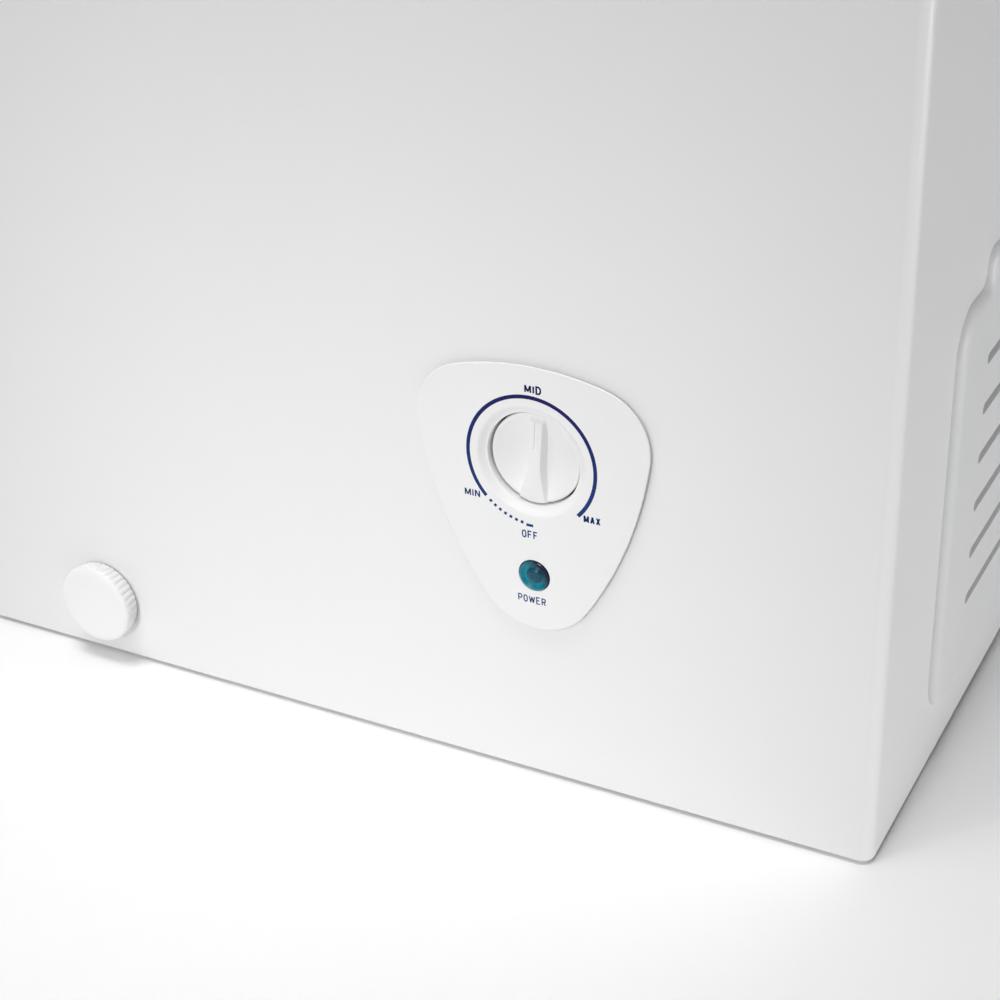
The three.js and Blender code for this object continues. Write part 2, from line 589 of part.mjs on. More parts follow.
function foamInsulation() {
  const skinGap = SKIN + GAP;
  const room = TUBE_RADIUS + CHANNEL_SPARE;
  const block = slab(plan(skinGap, CORNER_RADIUS), "z", PAN_Z + SKIN + GAP, CABINET_TOP - GAP, 2);
  const far = RIGHT + 1;
  const tools = [
    tubBlock(-GAP, CABINET_TOP + 1),
    box(BULKHEAD_X - SKIN - GAP, far, -1, BACK + 1, 0, BAY_TOP + GAP),
    rod("y", 0, SPOUT_LENGTH, 0, DRAIN_Z, SPOUT_FLANGE + 1, 16),
    rod("y", 0, DRAIN_BACK + PIPE_RADIUS + 1, 0, DRAIN_Z, PIPE_RADIUS + 1, 16),
    rod("z", DRAIN_Z, TUB_UNDERSIDE + 1, 0, DRAIN_BACK, PIPE_RADIUS + 1, 16),
    ...FEET.filter(([, x]) => x < BULKHEAD_X).map(([, x, y]) => footStemHole(x, y)),
    ...ceilingPassages(),
    ...bendSlots(EVAPORATOR_X, EVAPORATOR_Y, COIL_BOTTOM, EVAPORATOR_RUNS, EVAPORATOR_PITCH),
    ...bendSlots(CONDENSER_X, CONDENSER_Y, COIL_BOTTOM, CONDENSER_RUNS, CONDENSER_PITCH),
  ];
  for (let k = 0; k < EVAPORATOR_RUNS; k++) {
    const z = COIL_BOTTOM + k * EVAPORATOR_PITCH;
    const x = EVAPORATOR_X + room;
    tools.push(box(-x, x, WALL - 2 * room, EVAPORATOR_Y + room, z - room, z + room));
  }
  const inner = 2 * room + GAP + SKIN + TUBE_BEND / 4;
  for (let k = 0; k < CONDENSER_RUNS; k++) {
    const z = COIL_BOTTOM + k * CONDENSER_PITCH;
    tools.push(cut(
      box(-far, far, -1, CONDENSER_Y + room, z - room, z + room),
      box(-RIGHT + inner, RIGHT - inner, inner, BACK, z - room - 1, z + room + 1),
    ));
  }
  const top = COIL_BOTTOM + (CONDENSER_RUNS - 1) * CONDENSER_PITCH;
  const returnY = CONDENSER_Y + COIL_RETURN;
  tools.push(
    box(CONDENSER_X - room, far, returnY - room - BEND_ROOM, returnY + room, BAY_TOP, top + room),
    box(CONDENSER_X - room, far, CONDENSER_Y, returnY, top - room, top + room),
  );
  return cut(block, ...tools);
}

/** A coil that runs back and forth round the front three sides, one level above the other. */
function coilCorners(x, front, rear, bottom, runs, pitch) {
  const corners = [];
  for (let k = 0; k < runs; k++) {
    const side = k % 2 === 0 ? 1 : -1;
    const z = bottom + k * pitch;
    corners.push(
      [side * x, rear, z], [side * x, front, z], [-side * x, front, z], [-side * x, rear, z],
    );
  }
  return corners;
}

function condenserCoil() {
  const front = SKIN + GAP + TUBE_RADIUS + CHANNEL_SPARE / 2;
  const returnY = CONDENSER_Y + COIL_RETURN;
  const runs = coilCorners(
    CONDENSER_X, front, CONDENSER_Y, COIL_BOTTOM, CONDENSER_RUNS, CONDENSER_PITCH,
  );
  const last = runs.pop();
  const elbow = DRIER_TOP + DRIER_ELBOW;
  return tube([
    [CONDENSER_X, CONDENSER_Y, TAIL_Z], ...runs, [last[0], returnY, last[2]],
    [CONDENSER_X, returnY, elbow], [DRIER_X, returnY, elbow], [DRIER_X, returnY, DRIER_TOP + GAP],
  ], TUBE_RADIUS);
}

function evaporatorCoil() {
  const front = WALL - GAP - TUBE_RADIUS - CHANNEL_SPARE / 2;
  return tube([
    [EVAPORATOR_X, EVAPORATOR_Y, TAIL_Z],
    ...coilCorners(EVAPORATOR_X, front, EVAPORATOR_Y, COIL_BOTTOM, EVAPORATOR_RUNS, EVAPORATOR_PITCH),
  ], TUBE_RADIUS);
}

/** Plastic frame over the top of the wall, with a lip into the tub and a ledge for the basket. */
function topFrame() {
  const lipOutside = LIP_INSET - LIP;
  return join(
    planRing(0, LIP_INSET, CABINET_TOP + GAP, DECK_TOP, CORNER_RADIUS, LINER_CORNER),
    planRing(lipOutside, LIP_INSET, LEDGE_TOP - LIP, CABINET_TOP + GAP + 1, LINER_CORNER),
    planRing(lipOutside, LEDGE_INSET, LEDGE_TOP - LIP, LEDGE_TOP, LINER_CORNER),
  );
}

function rearPanel() {
  const { left, right, bottom, top } = BAY_OPENING;
  return cut(
    box(-RIGHT, RIGHT, BACK - SKIN, BACK, CABINET_BOTTOM, CABINET_TOP),
    box(left, right, BACK - SKIN - 1, BACK + 1, bottom, top),
    ...GRILLE_SCREWS.map((x) => rod("y", BACK - 2, BACK + 1, x, GRILLE_SCREW_Z, SCREW_HOLE, 10)),
  );
}

function foot() {
  return upright(turned([
    [0, 0], [FOOT_RADIUS, 0], [FOOT_RADIUS - 1, PAN_Z - GAP], [FOOT_STEM, PAN_Z - GAP],
    [FOOT_STEM, PAN_Z + FOOT_STEM_LENGTH], [0, PAN_Z + FOOT_STEM_LENGTH],
  ], 16));
}

piece("outer_wrapper", outerWrapper(), "enamel");
piece("rear_panel", rearPanel(), "galvanised");
piece("base_pan", basePan(), "galvanised");
piece("foam_insulation", foamInsulation(), "foam");
piece("inner_liner", innerLiner(), "linerSheet");
piece("top_frame", topFrame(), "whitePlastic");
piece("evaporator_coil", evaporatorCoil(), "copper");
piece("condenser_coil", condenserCoil(), "copper");
for (const [name, x, y] of FEET) piece(name, foot(), "blackPlastic").position.set(x, y, 0);

// ---------------------------------------------------------------- machine bay

/** Folded steel tray across the bay's floor, with turned-up edges. */
function compressorTray() {
  const left = BULKHEAD_X + GAP;
  const right = INNER_RIGHT - GAP;
  const flange = TRAY_TOP + TRAY_FLANGE;
  const section = new THREE.Shape([
    [left, PAN_Z], [right, PAN_Z], [right, flange], [right - TRAY, flange],
    [right - TRAY, TRAY_TOP], [left + TRAY, TRAY_TOP], [left + TRAY, flange], [left, flange],
  ].map(([x, z]) => new THREE.Vector2(x, z)));
  return cut(
    slab(section, "y", TRAY_FRONT, BACK - TRAY_FRONT),
    ...FEET.filter(([, x]) => x > BULKHEAD_X).map(([, x, y]) => footStemHole(x, y)),
  );
}

/** Welded steel can with its foot plate, the four bolt holes and the flat for the terminals. */
function compressorShell() {
  const { radius, height } = COMPRESSOR;
  const base = MOUNT_Z + MOUNT_PLATE;
  const can = upright(turned([
    [0, MOUNT_Z + 0.5], [radius - 14, MOUNT_Z + 0.5], [radius - 3, base + 12],
    [radius, base + 30], [radius, base + height * 0.62], [radius - 6, base + height * 0.8],
    [radius - 26, base + height * 0.94], [0, base + height],
  ], 24)).translate(COMPRESSOR_X, COMPRESSOR_Y, 0);
  const spanX = MOUNT_SPAN_X + MOUNT_EDGE;
  const spanY = MOUNT_SPAN_Y + MOUNT_EDGE;
  const plate = slab(rectangle(-spanX, spanX, -spanY, spanY, 10), "z", MOUNT_Z, base, 2)
    .translate(COMPRESSOR_X, COMPRESSOR_Y, 0);
  const terminals = box(
    COMPRESSOR_X - TERMINAL_HALF, COMPRESSOR_X + TERMINAL_HALF,
    COMPRESSOR_Y - radius - 2, COMPRESSOR_Y - radius + 14,
    base + STARTER.lift + 6, base + STARTER.lift + STARTER.height - 6,
  );
  return cut(
    join(can, plate, terminals),
    ...mountPoints().map(([, x, y]) => rod("z", MOUNT_Z - 1, base + 1, x, y, BOLT.radius + 0.6, 12)),
  );
}

function mountPoints() {
  return [["front_left", -1, -1], ["front_right", 1, -1], ["rear_left", -1, 1], ["rear_right", 1, 1]]
    .map(([name, x, y]) => [name, COMPRESSOR_X + x * MOUNT_SPAN_X, COMPRESSOR_Y + y * MOUNT_SPAN_Y]);
}

function mountBolt() {
  const top = MOUNT_Z + MOUNT_PLATE + GAP;
  return upright(turned([
    [0, TRAY_TOP + GAP], [BOLT.radius, TRAY_TOP + GAP], [BOLT.radius, top], [BOLT.head, top],
    [BOLT.head, top + BOLT.headHeight], [0, top + BOLT.headHeight],
  ], 12));
}

/** The end of a line that meets the compressor's can, pointing away from its axis to a column. */
function canEntry(x, y, z) {
  const away = new THREE.Vector2(x - COMPRESSOR_X, y - COMPRESSOR_Y).setLength(COMPRESSOR.radius + GAP);
  return [COMPRESSOR_X + away.x, COMPRESSOR_Y + away.y, z];
}

function copperLine(x, y, entryHeight) {
  return tube([[x, y, TAIL_Z - GAP], [x, y, entryHeight], canEntry(x, y, entryHeight)], TUBE_RADIUS);
}

/** Thin tube from the drier's foot, wound in loops, up through the bay's ceiling. */
function capillaryTube() {
  const start = DRIER_TOP - DRIER_LENGTH - GAP;
  const foot = start - CAPILLARY_DIP;
  const loops = [];
  const turns = 2;
  const perTurn = 8;
  for (let i = 0; i <= turns * perTurn; i++) {
    const angle = (2 * Math.PI * i) / perTurn;
    loops.push([
      CAPILLARY_X + CAPILLARY_LOOP * (1 - Math.cos(angle)),
      CAPILLARY_Y - CAPILLARY_LOOP * Math.sin(angle),
      start + CAPILLARY_LOOP + CAPILLARY_RISE * i / perTurn,
    ]);
  }
  return tube([
    [DRIER_X, DRIER_Y, start], [DRIER_X, DRIER_Y, foot], [CAPILLARY_X, DRIER_Y, foot],
    ...loops, [CAPILLARY_X, CAPILLARY_Y, BAY_TOP + PASSAGE_RISE - 2],
  ], CAPILLARY_RADIUS, { bend: 8, steps: 1 });
}

function filterDrier() {
  const low = DRIER_TOP - DRIER_LENGTH;
  return upright(turned([
    [0, low], [CAPILLARY_RADIUS + 1.5, low], [DRIER_RADIUS, low + 14], [DRIER_RADIUS, DRIER_TOP - 14],
    [TUBE_RADIUS + 1, DRIER_TOP], [0, DRIER_TOP],
  ], 16)).translate(DRIER_X, DRIER_Y, 0);
}

function starterCover() {
  const back = COMPRESSOR_Y - COMPRESSOR.radius - 2 - GAP;
  const low = MOUNT_Z + MOUNT_PLATE + STARTER.lift;
  const half = STARTER.width / 2;
  return slab(
    rectangle(COMPRESSOR_X - half, COMPRESSOR_X + half, low, low + STARTER.height, 5),
    "y", back - STARTER.depth, back, 2,
  );
}

/** Louvred cover over the side opening, with two screw ears on its top edge. */
function sideVentCover() {
  const back = RIGHT + GAP;
  const face = RIGHT + VENT_PROUD;
  const { half, height, corner } = VENT_EAR;
  const ears = VENT_SCREWS.map((y) => slab(
    rectangle(y - half, y + half, VENT_TOP - 2 * corner, VENT_TOP + height, corner), "x", back, face, 3,
  ));
  const outline = rectangle(VENT_FRONT, VENT_BACK, VENT_Z, VENT_TOP, VENT_CORNER);
  const cover = slab(outline, "x", back, face, 4);
  const first = VENT_FRONT + VENT_SLOT_INSET;
  const last = VENT_BACK - VENT_SLOT_INSET;
  const slots = Array.from({ length: VENT_SLOTS }, (_, i) => {
    const z = CABINET_BOTTOM + VENT_LOWEST_SLOT + i * VENT_SLOT_PITCH;
    const high = VENT_SLOT_HEIGHT / 2;
    return slab(
      rectangle(first, last, z - high, z + high, VENT_SLOT_CORNER), "x", RIGHT - 1, face + 1, 2,
    );
  });
  return cut(
    join(cover, ...ears),
    ...slots,
    ...VENT_SCREWS.flatMap((y) => [
      rod("x", RIGHT - 1, face + 1, y, VENT_TOP, SCREW_HOLE, 10),
      rod("x", face - SCREW.headHeight - GAP, face + 1, y, VENT_TOP, SCREW.head + SCREW.clearance, 16),
    ]),
  );
}

/** A pan-head screw along Y, its head's underside at zero and its shank pointing to +Y. */
function screw() {
  return turned([
    [0, -SCREW.headHeight], [SCREW.head - 1, -SCREW.headHeight], [SCREW.head, -SCREW.headHeight / 2],
    [SCREW.head, 0], [SCREW.shank, 0], [SCREW.shank, SCREW.length], [0, SCREW.length],
  ], 12);
}

function rearGrille() {
  const { left, right, bottom, top } = GRILLE;
  const face = BACK + GAP;
  const outside = face + GRILLE_SHEET + 1;
  const slots = Array.from({ length: GRILLE_SLOTS }, (_, i) => {
    const z = top - GRILLE_BORDER - i * GRILLE_SLOT_PITCH;
    const high = GRILLE_SLOT_HEIGHT / 2;
    const besideGland = z - high < GLAND_Z + GLAND.flange + 4;
    const start = besideGland ? GLAND_X + GLAND.flange + 6 : left + GRILLE_BORDER;
    return box(start, right - GRILLE_BORDER, face - 1, outside, z - high, z + high);
  });
  return cut(
    slab(rectangle(left, right, bottom, top, 5), "y", face, face + GRILLE_SHEET, 2),
    ...slots,
    ...GRILLE_SCREWS.map((x) => rod("y", face - 1, outside, x, GRILLE_SCREW_Z, SCREW_HOLE, 10)),
    rod("y", face - 1, outside, GLAND_X, GLAND_Z, GLAND.neck + GAP, 16),
  );
}

/** Moulded bush in the rear grille that a mains lead passes through. */
function cordGland() {
  const seat = BACK + GAP + GRILLE_SHEET + GAP;
  return turned([
    [GLAND.bore, seat + GLAND.flangeThickness], [GLAND.bore, seat - GLAND.inside],
    [GLAND.neck, seat - GLAND.inside], [GLAND.neck, seat], [GLAND.flange, seat],
    [GLAND.flange - 1, seat + GLAND.flangeThickness], [GLAND.bore, seat + GLAND.flangeThickness],
  ], 16).translate(GLAND_X, 0, GLAND_Z);
}

piece("compressor_tray", compressorTray(), "galvanised");
piece("compressor_shell", compressorShell(), "blackPaint");
for (const [corner, x, y] of mountPoints()) {
  const low = TRAY_TOP + GAP;
  const grommet = upright(ring(GROMMET.bore, GROMMET.radius, low, low + GROMMET.height));
  piece(`grommet_${corner}`, grommet, "rubber").position.set(x, y, 0);
  piece(`mount_bolt_${corner}`, mountBolt(), "zinc").position.set(x, y, 0);
}
piece("starter_cover", starterCover(), "blackPlastic");
piece("suction_tube", copperLine(EVAPORATOR_X, EVAPORATOR_Y, SUCTION_ENTRY), "copper");
piece("discharge_tube", copperLine(CONDENSER_X, CONDENSER_Y, DISCHARGE_ENTRY), "copper");
piece("filter_drier", filterDrier(), "copper");
piece("capillary_tube", capillaryTube(), "copper");
piece("side_vent_cover", sideVentCover(), "whitePlastic");
VENT_SCREWS.forEach((y, i) => {
  const fixing = piece(`vent_screw_${["front", "rear"][i]}`, screw(), "zinc");
  fixing.rotation.z = Math.PI / 2;
  fixing.position.set(RIGHT + VENT_PROUD - SCREW.headHeight, y, VENT_TOP);
});
piece("rear_grille", rearGrille(), "galvanised");
GRILLE_SCREWS.forEach((x, i) => {
  const fixing = piece(`grille_screw_${["left", "right"][i]}`, screw(), "zinc");
  fixing.rotation.z = Math.PI;
  fixing.position.set(x, BACK + GAP + GRILLE_SHEET + GAP, GRILLE_SCREW_Z);
});
piece("cord_gland", cordGland(), "blackPlastic");

// ---------------------------------------------------------------- controls

/** The fascia's outline round the dial axis: tangent arcs, mirrored about the upright axis. */
function fasciaOutline() {
  const half = [];
  const steps = 5;
  const outward = (heading, radius) =>
    new THREE.Vector2(Math.sin(heading), Math.cos(heading)).multiplyScalar(radius);
  let heading = 0;
  let at = new THREE.Vector2(0, FASCIA_TOP);
  const sweepArc = (radius, sweep) => {
    const centre = at.clone().sub(outward(heading, radius));
    for (let i = 0; i < steps; i++) {
      half.push(centre.clone().add(outward(heading + (sweep * i) / steps, radius)));
    }
    heading += sweep;
    at = centre.add(outward(heading, radius));
  };
  for (const { radius, sweep } of FASCIA_ARCS) sweepArc(radius, THREE.MathUtils.degToRad(sweep));
  sweepArc(at.x / Math.sin(heading), Math.PI - heading);
  const mirrored = half.slice(1).reverse().map((p) => new THREE.Vector2(-p.x, p.y));
  return new THREE.Shape([...half, new THREE.Vector2(0, at.y), ...mirrored].reverse());
}

const onDial = (geometry) => geometry.translate(DIAL_X, 0, DIAL_Z);

/** Pick-shaped front plate with the dished knob well and the lens boss behind it. */
function controlFascia() {
  const face = -FASCIA_PROUD;
  const well = KNOB_RADIUS + KNOB_CLEARANCE;
  const dish = turned([
    [0, face - 1], [DISH_RADIUS + 0.8, face - 1], [well, face + DISH_DEPTH], [well, CUP_DEPTH + 1],
    [0, CUP_DEPTH + 1],
  ], 32);
  return onDial(cut(
    join(
      slab(fasciaOutline(), "y", face, -GAP),
      rod("y", -1, CUP_DEPTH, 0, 0, DISH_RADIUS + CUP_WALL, 32),
      rod("y", -1, CUP_DEPTH, 0, -LENS_DROP, LENS_RADIUS + CUP_WALL, 20),
    ),
    dish,
    rod("y", face - 1, CUP_DEPTH + 1, 0, -LENS_DROP, LENS_RADIUS + LENS_CLEARANCE, 20),
  ));
}

/** Open-fronted housing behind the skin that holds the thermostat and the lamp. */
function controlBox() {
  const front = SKIN + GAP;
  const back = front + CONTROL_BOX_DEPTH;
  const half = CONTROL_BOX_HALF;
  const t = CONTROL_BOX_WALL;
  const hole = CONTROL_BOX_HOLE;
  return onDial(cut(
    box(-half, half, front, back, -CONTROL_BOX_BELOW, CONTROL_BOX_ABOVE),
    box(-half + t, half - t, front - 1, back - t, -CONTROL_BOX_BELOW + t, CONTROL_BOX_ABOVE - t),
    box(-hole.half, hole.half, back - t - 1, back + 1, hole.low, hole.high),
  ));
}

function thermostatKnob() {
  const rim = KNOB_RIM_Y;
  const floor = rim + KNOB_SCOOP;
  const back = rim + KNOB_THICKNESS;
  const inner = KNOB_RADIUS - KNOB_RIM;
  const disc = turned([
    [0, floor], [inner - 1.5, floor], [inner, rim], [KNOB_RADIUS - 0.4, rim],
    [KNOB_RADIUS, rim + 0.5], [KNOB_RADIUS, back], [0, back],
  ], 36);
  const grip = slab(new THREE.Shape([
    [GRIP_HALF, inner], [-GRIP_HALF, inner], [-GRIP_HALF, -0.3 * inner],
    [-GRIP_FLARE, -0.94 * inner], [0, -inner], [GRIP_FLARE, -0.94 * inner], [GRIP_HALF, -0.3 * inner],
  ].map(([x, z]) => new THREE.Vector2(x, z))), "y", rim - GRIP_PROUD, floor + 1);
  return onDial(cut(
    join(disc, grip, rod("y", back - 1, back + HUB_LENGTH, 0, 0, HUB_RADIUS)),
    rod("y", shaftFront() - GAP, back + HUB_LENGTH + 1, 0, 0, SHAFT_RADIUS + GAP, 16),
  ).rotateY(THREE.MathUtils.degToRad(KNOB_TURN)));
}

const shaftFront = () => THERMOSTAT_Y + SHAFT_ENTRY - SHAFT_LENGTH;

function thermostatBody() {
  const { width, height, depth, neck, neckLength } = THERMOSTAT;
  return onDial(cut(
    join(
      box(-width / 2, width / 2, THERMOSTAT_Y, THERMOSTAT_Y + depth, -height / 2, height / 2),
      rod("y", THERMOSTAT_Y - neckLength, THERMOSTAT_Y + 1, 0, 0, neck),
    ),
    rod(
      "y", THERMOSTAT_Y - neckLength - 1, THERMOSTAT_Y + SHAFT_ENTRY + 1, 0, 0,
      SHAFT_RADIUS + SHAFT_CLEARANCE, 16,
    ),
  ));
}

function indicatorLens() {
  const face = -FASCIA_PROUD;
  return turned([
    [0, face - 0.7], [LENS_RADIUS - 2.5, face - 0.6], [LENS_RADIUS - 0.6, face - 0.2],
    [LENS_RADIUS, face + 0.4], [LENS_RADIUS, face + LENS_LENGTH], [0, face + LENS_LENGTH],
  ], 24).translate(DIAL_X, 0, LENS_Z);
}

function wiringHarness() {
  const rear = THERMOSTAT_Y + THERMOSTAT.depth + GAP;
  const cover = COMPRESSOR_Y - COMPRESSOR.radius - 2 - GAP - STARTER.depth - GAP;
  const z = MOUNT_Z + MOUNT_PLATE + STARTER.lift + STARTER.height / 2;
  const start = DIAL_X - HARNESS.offset;
  return tube([
    [start, rear, DIAL_Z - CABLE_DROP], [start, rear + HARNESS.straight, DIAL_Z - CABLE_DROP],
    [COMPRESSOR_X, cover - HARNESS.straight, z], [COMPRESSOR_X, cover, z],
  ], HARNESS.radius);
}

function sensingTube() {
  const rear = THERMOSTAT_Y + THERMOSTAT.depth + GAP;
  return tube([
    [SENSOR_X, rear, DIAL_Z - CABLE_DROP], [SENSOR_X, SENSOR_Y, DIAL_Z - CABLE_DROP],
    [SENSOR_X, SENSOR_Y, BAY_TOP + PASSAGE_RISE - 2],
  ], CAPILLARY_RADIUS, { bend: 10 });
}

const indicatorLamp = () => {
  const front = -FASCIA_PROUD + LENS_LENGTH + GAP;
  return rod("y", front, front + LAMP_LENGTH, DIAL_X, LENS_Z, LAMP_RADIUS, 12);
};
const thermostatShaft = () =>
  rod("y", shaftFront(), shaftFront() + SHAFT_LENGTH, DIAL_X, DIAL_Z, SHAFT_RADIUS, 16);

piece("control_fascia", controlFascia(), "whitePlastic");
piece("control_box", controlBox(), "greyPlastic");
piece("thermostat_body", thermostatBody(), "greyPlastic");
piece("sensing_tube", sensingTube(), "copper");
piece("indicator_lens", indicatorLens(), "tealLens");
piece("indicator_lamp", indicatorLamp(), "greyPlastic");
piece("wiring_harness", wiringHarness(), "cable");
piece("thermostat_knob", thermostatKnob(), "whitePlastic");
piece("thermostat_shaft", thermostatShaft(), "zinc");

// ---------------------------------------------------------------- drain

/** Screwed spout through the front skin, with a flange behind the skin. */
function drainSpout() {
  return cut(
    join(
      rod("y", -SPOUT_PROUD, SPOUT_LENGTH - SPOUT_PROUD, 0, DRAIN_Z, SPOUT_RADIUS),
      rod("y", SKIN + GAP, SKIN + GAP + SPOUT_FLANGE_THICKNESS, 0, DRAIN_Z, SPOUT_FLANGE),
    ),
    rod("y", -SPOUT_PROUD - 1, SPOUT_LENGTH, 0, DRAIN_Z, DRAIN_BORE),
  );
}

/** Elbow from the tub's drain hole down and forward to the spout. */
function drainPipe() {
  const front = SPOUT_LENGTH - SPOUT_PROUD + GAP;
  return cut(
    join(
      rod("y", front, DRAIN_BACK + PIPE_RADIUS, 0, DRAIN_Z, PIPE_RADIUS),
      rod("z", DRAIN_Z, TUB_UNDERSIDE - GAP, 0, DRAIN_BACK, PIPE_RADIUS),
    ),
    rod("y", front - 1, DRAIN_BACK + DRAIN_BORE, 0, DRAIN_Z, DRAIN_BORE),
    rod("z", DRAIN_Z, TUB_UNDERSIDE + 1, 0, DRAIN_BACK, DRAIN_BORE),
  );
}

/** Screw cap over the spout, hollow at the back. */
function drainCap() {
  const face = -CAP_PROUD;
  const inside = SPOUT_RADIUS + CAP_CLEARANCE;
  return turned([
    [0, face], [CAP_RADIUS - 1.8, face], [CAP_RADIUS, face + 1.8], [CAP_RADIUS, -CAP_STANDOFF],
    [inside, -CAP_STANDOFF], [inside, face + CAP_WALL], [0, face + CAP_WALL],
  ], 32).translate(0, 0, DRAIN_Z);
}

/** Rubber plug in the tub's drain hole, with a pull tab. */
function drainPlug() {
  const seat = TUB_UNDERSIDE + LINER_SKIN + GAP;
  const top = seat + PLUG_FLANGE_THICKNESS;
  const { half, thickness, height } = PLUG_TAB;
  return join(
    rod("z", seat, top, 0, DRAIN_BACK, PLUG_FLANGE),
    rod("z", seat - PLUG_STEM_LENGTH, seat + 1, 0, DRAIN_BACK, PLUG_STEM),
    box(-half, half, DRAIN_BACK - thickness / 2, DRAIN_BACK + thickness / 2, top - 1, top + height),
  );
}

function drainWasher() {
  const face = -CAP_PROUD + CAP_WALL + GAP;
  return rod("y", face, face + WASHER_THICKNESS, 0, DRAIN_Z, SPOUT_RADIUS);
}

piece("drain_spout", drainSpout(), "whitePlastic");
piece("drain_pipe", drainPipe(), "greyPlastic");
piece("drain_cap", drainCap(), "whitePlastic");
piece("drain_washer", drainWasher(), "rubber");
piece("drain_plug", drainPlug(), "rubber");

// ---------------------------------------------------------------- lid and hinges

function lidOuter() {
  return cut(
    pillow(-LID_OVERHANG, LID_BOTTOM, LID_TOP, LID_CORNER, LID_EDGE),
    pillow(-LID_OVERHANG + SKIN, LID_BOTTOM - 1, LID_TOP - SKIN, LID_CORNER - SKIN, LID_EDGE - SKIN),
  );
}

/** Formed plastic sheet that closes the lid below, with a raised middle that dips into the tub. */
function lidLiner() {
  const top = LID_BOTTOM + LID_LINER;
  const edge = -LID_OVERHANG + SKIN + GAP;
  const corner = LID_CORNER + 2;
  return cut(
    join(
      slab(plan(edge, corner), "z", LID_BOTTOM, top),
      slab(plan(PLUG_INSET, PLUG_CORNER), "z", PLUG_BOTTOM, LID_BOTTOM + 1),
    ),
    slab(plan(PLUG_INSET + LID_LINER, PLUG_CORNER - LID_LINER), "z", PLUG_BOTTOM + LID_LINER, top + 1),
  );
}

function lidFoam() {
  const inset = SKIN + GAP;
  const low = LID_BOTTOM + LID_LINER + GAP;
  return join(
    pillow(-LID_OVERHANG + inset, low, LID_TOP - inset, LID_CORNER - inset, LID_EDGE - inset),
    slab(
      plan(PLUG_INSET + LID_LINER + GAP, PLUG_CORNER - LID_LINER - GAP),
      "z", PLUG_BOTTOM + LID_LINER + GAP, low + 1,
    ),
  );
}

/** Grip on the lid's front edge, open below for the fingers. */
function lidHandle() {
  const back = -LID_OVERHANG - GAP;
  const front = back - HANDLE_DEPTH;
  const low = LID_BOTTOM + HANDLE_LIFT;
  const high = low + HANDLE_HEIGHT;
  const half = HANDLE_WIDTH / 2;
  const t = HANDLE_WALL;
  const side = rounded([[back, low], [back, high], [front, high, 12], [front, low, 3]].reverse());
  return cut(
    slab(side, "x", -half, half, 4),
    box(-half + t, half - t, front + t, back - t, low - 1, high - t - 4),
  );
}

/** Plate on the rear skin with two ears that carry the pin. */
function hingeBracket() {
  const plateFront = BACK + GAP;
  const halfPlate = HINGE_PLATE_WIDTH / 2;
  const top = CABINET_TOP - BRACKET_DROP;
  const earInside = KNUCKLE_LENGTH / 2 + EAR_CLEARANCE;
  const tangent = KNUCKLE_RADIUS - 0.4;
  const ear = (x) => join(
    rod("x", x, x + EAR_THICKNESS, HINGE_Y, HINGE_Z, KNUCKLE_RADIUS, 16),
    slab(new THREE.Shape([
      [plateFront, top - EAR_DEPTH], [HINGE_Y + tangent, HINGE_Z], [HINGE_Y - tangent, HINGE_Z],
      [plateFront, top],
    ].map(([y, z]) => new THREE.Vector2(y, z))), "x", x, x + EAR_THICKNESS),
  );
  return cut(
    join(
      box(-halfPlate, halfPlate, plateFront, plateFront + HINGE_PLATE, top - BRACKET_HEIGHT, top),
      ear(earInside), ear(-earInside - EAR_THICKNESS),
    ),
    rod("x", -halfPlate, halfPlate, HINGE_Y, HINGE_Z, PIN_RADIUS + PIN_CLEARANCE, 16),
  );
}

/** Plate on the lid's rear face with the knuckle that turns on the pin. */
function hingeArm() {
  const lidBack = BACK + LID_OVERHANG + GAP;
  const low = LID_BOTTOM + ARM_RISE;
  const tangent = KNUCKLE_RADIUS - 1;
  const halfPlate = HINGE_PLATE_WIDTH / 2;
  const half = KNUCKLE_LENGTH / 2;
  return cut(
    join(
      box(-halfPlate, halfPlate, lidBack, lidBack + HINGE_PLATE, low, low + ARM_HEIGHT),
      rod("x", -half, half, HINGE_Y, HINGE_Z, KNUCKLE_RADIUS, 16),
      slab(new THREE.Shape([
        [lidBack, low + ARM_WEB.low], [HINGE_Y - tangent, HINGE_Z + 1], [HINGE_Y + tangent, HINGE_Z + 1],
        [lidBack, low + ARM_WEB.high],
      ].map(([y, z]) => new THREE.Vector2(y, z))), "x", -half, half),
    ),
    rod("x", -half - 1, half + 1, HINGE_Y, HINGE_Z, PIN_RADIUS + PIN_CLEARANCE, 16),
  );
}

function hingePin() {
  const half = KNUCKLE_LENGTH / 2 + EAR_CLEARANCE + EAR_THICKNESS + PIN_END;
  return rod("x", -half, half, HINGE_Y, HINGE_Z, PIN_RADIUS, 16);
}

for (const [side, sign] of [["left", -1], ["right", 1]]) {
  const x = sign * HINGE_SPREAD;
  piece(`hinge_bracket_${side}`, hingeBracket(), "zinc").position.x = x;
  piece(`hinge_arm_${side}`, hingeArm(), "zinc").position.x = x;
  piece(`hinge_pin_${side}`, hingePin(), "zinc").position.x = x;
}
piece("lid_outer", lidOuter(), "enamel");
piece("lid_foam", lidFoam(), "foam");
piece("lid_liner", lidLiner(), "whitePlastic");
piece(
  "lid_gasket",
  planRing(GASKET_INSET, GASKET_INSET + GASKET_WIDTH, DECK_TOP + GAP, LID_BOTTOM - GAP, CORNER_RADIUS),
  "gasket",
);
piece("lid_handle", lidHandle(), "whitePlastic");

// ---------------------------------------------------------------- basket

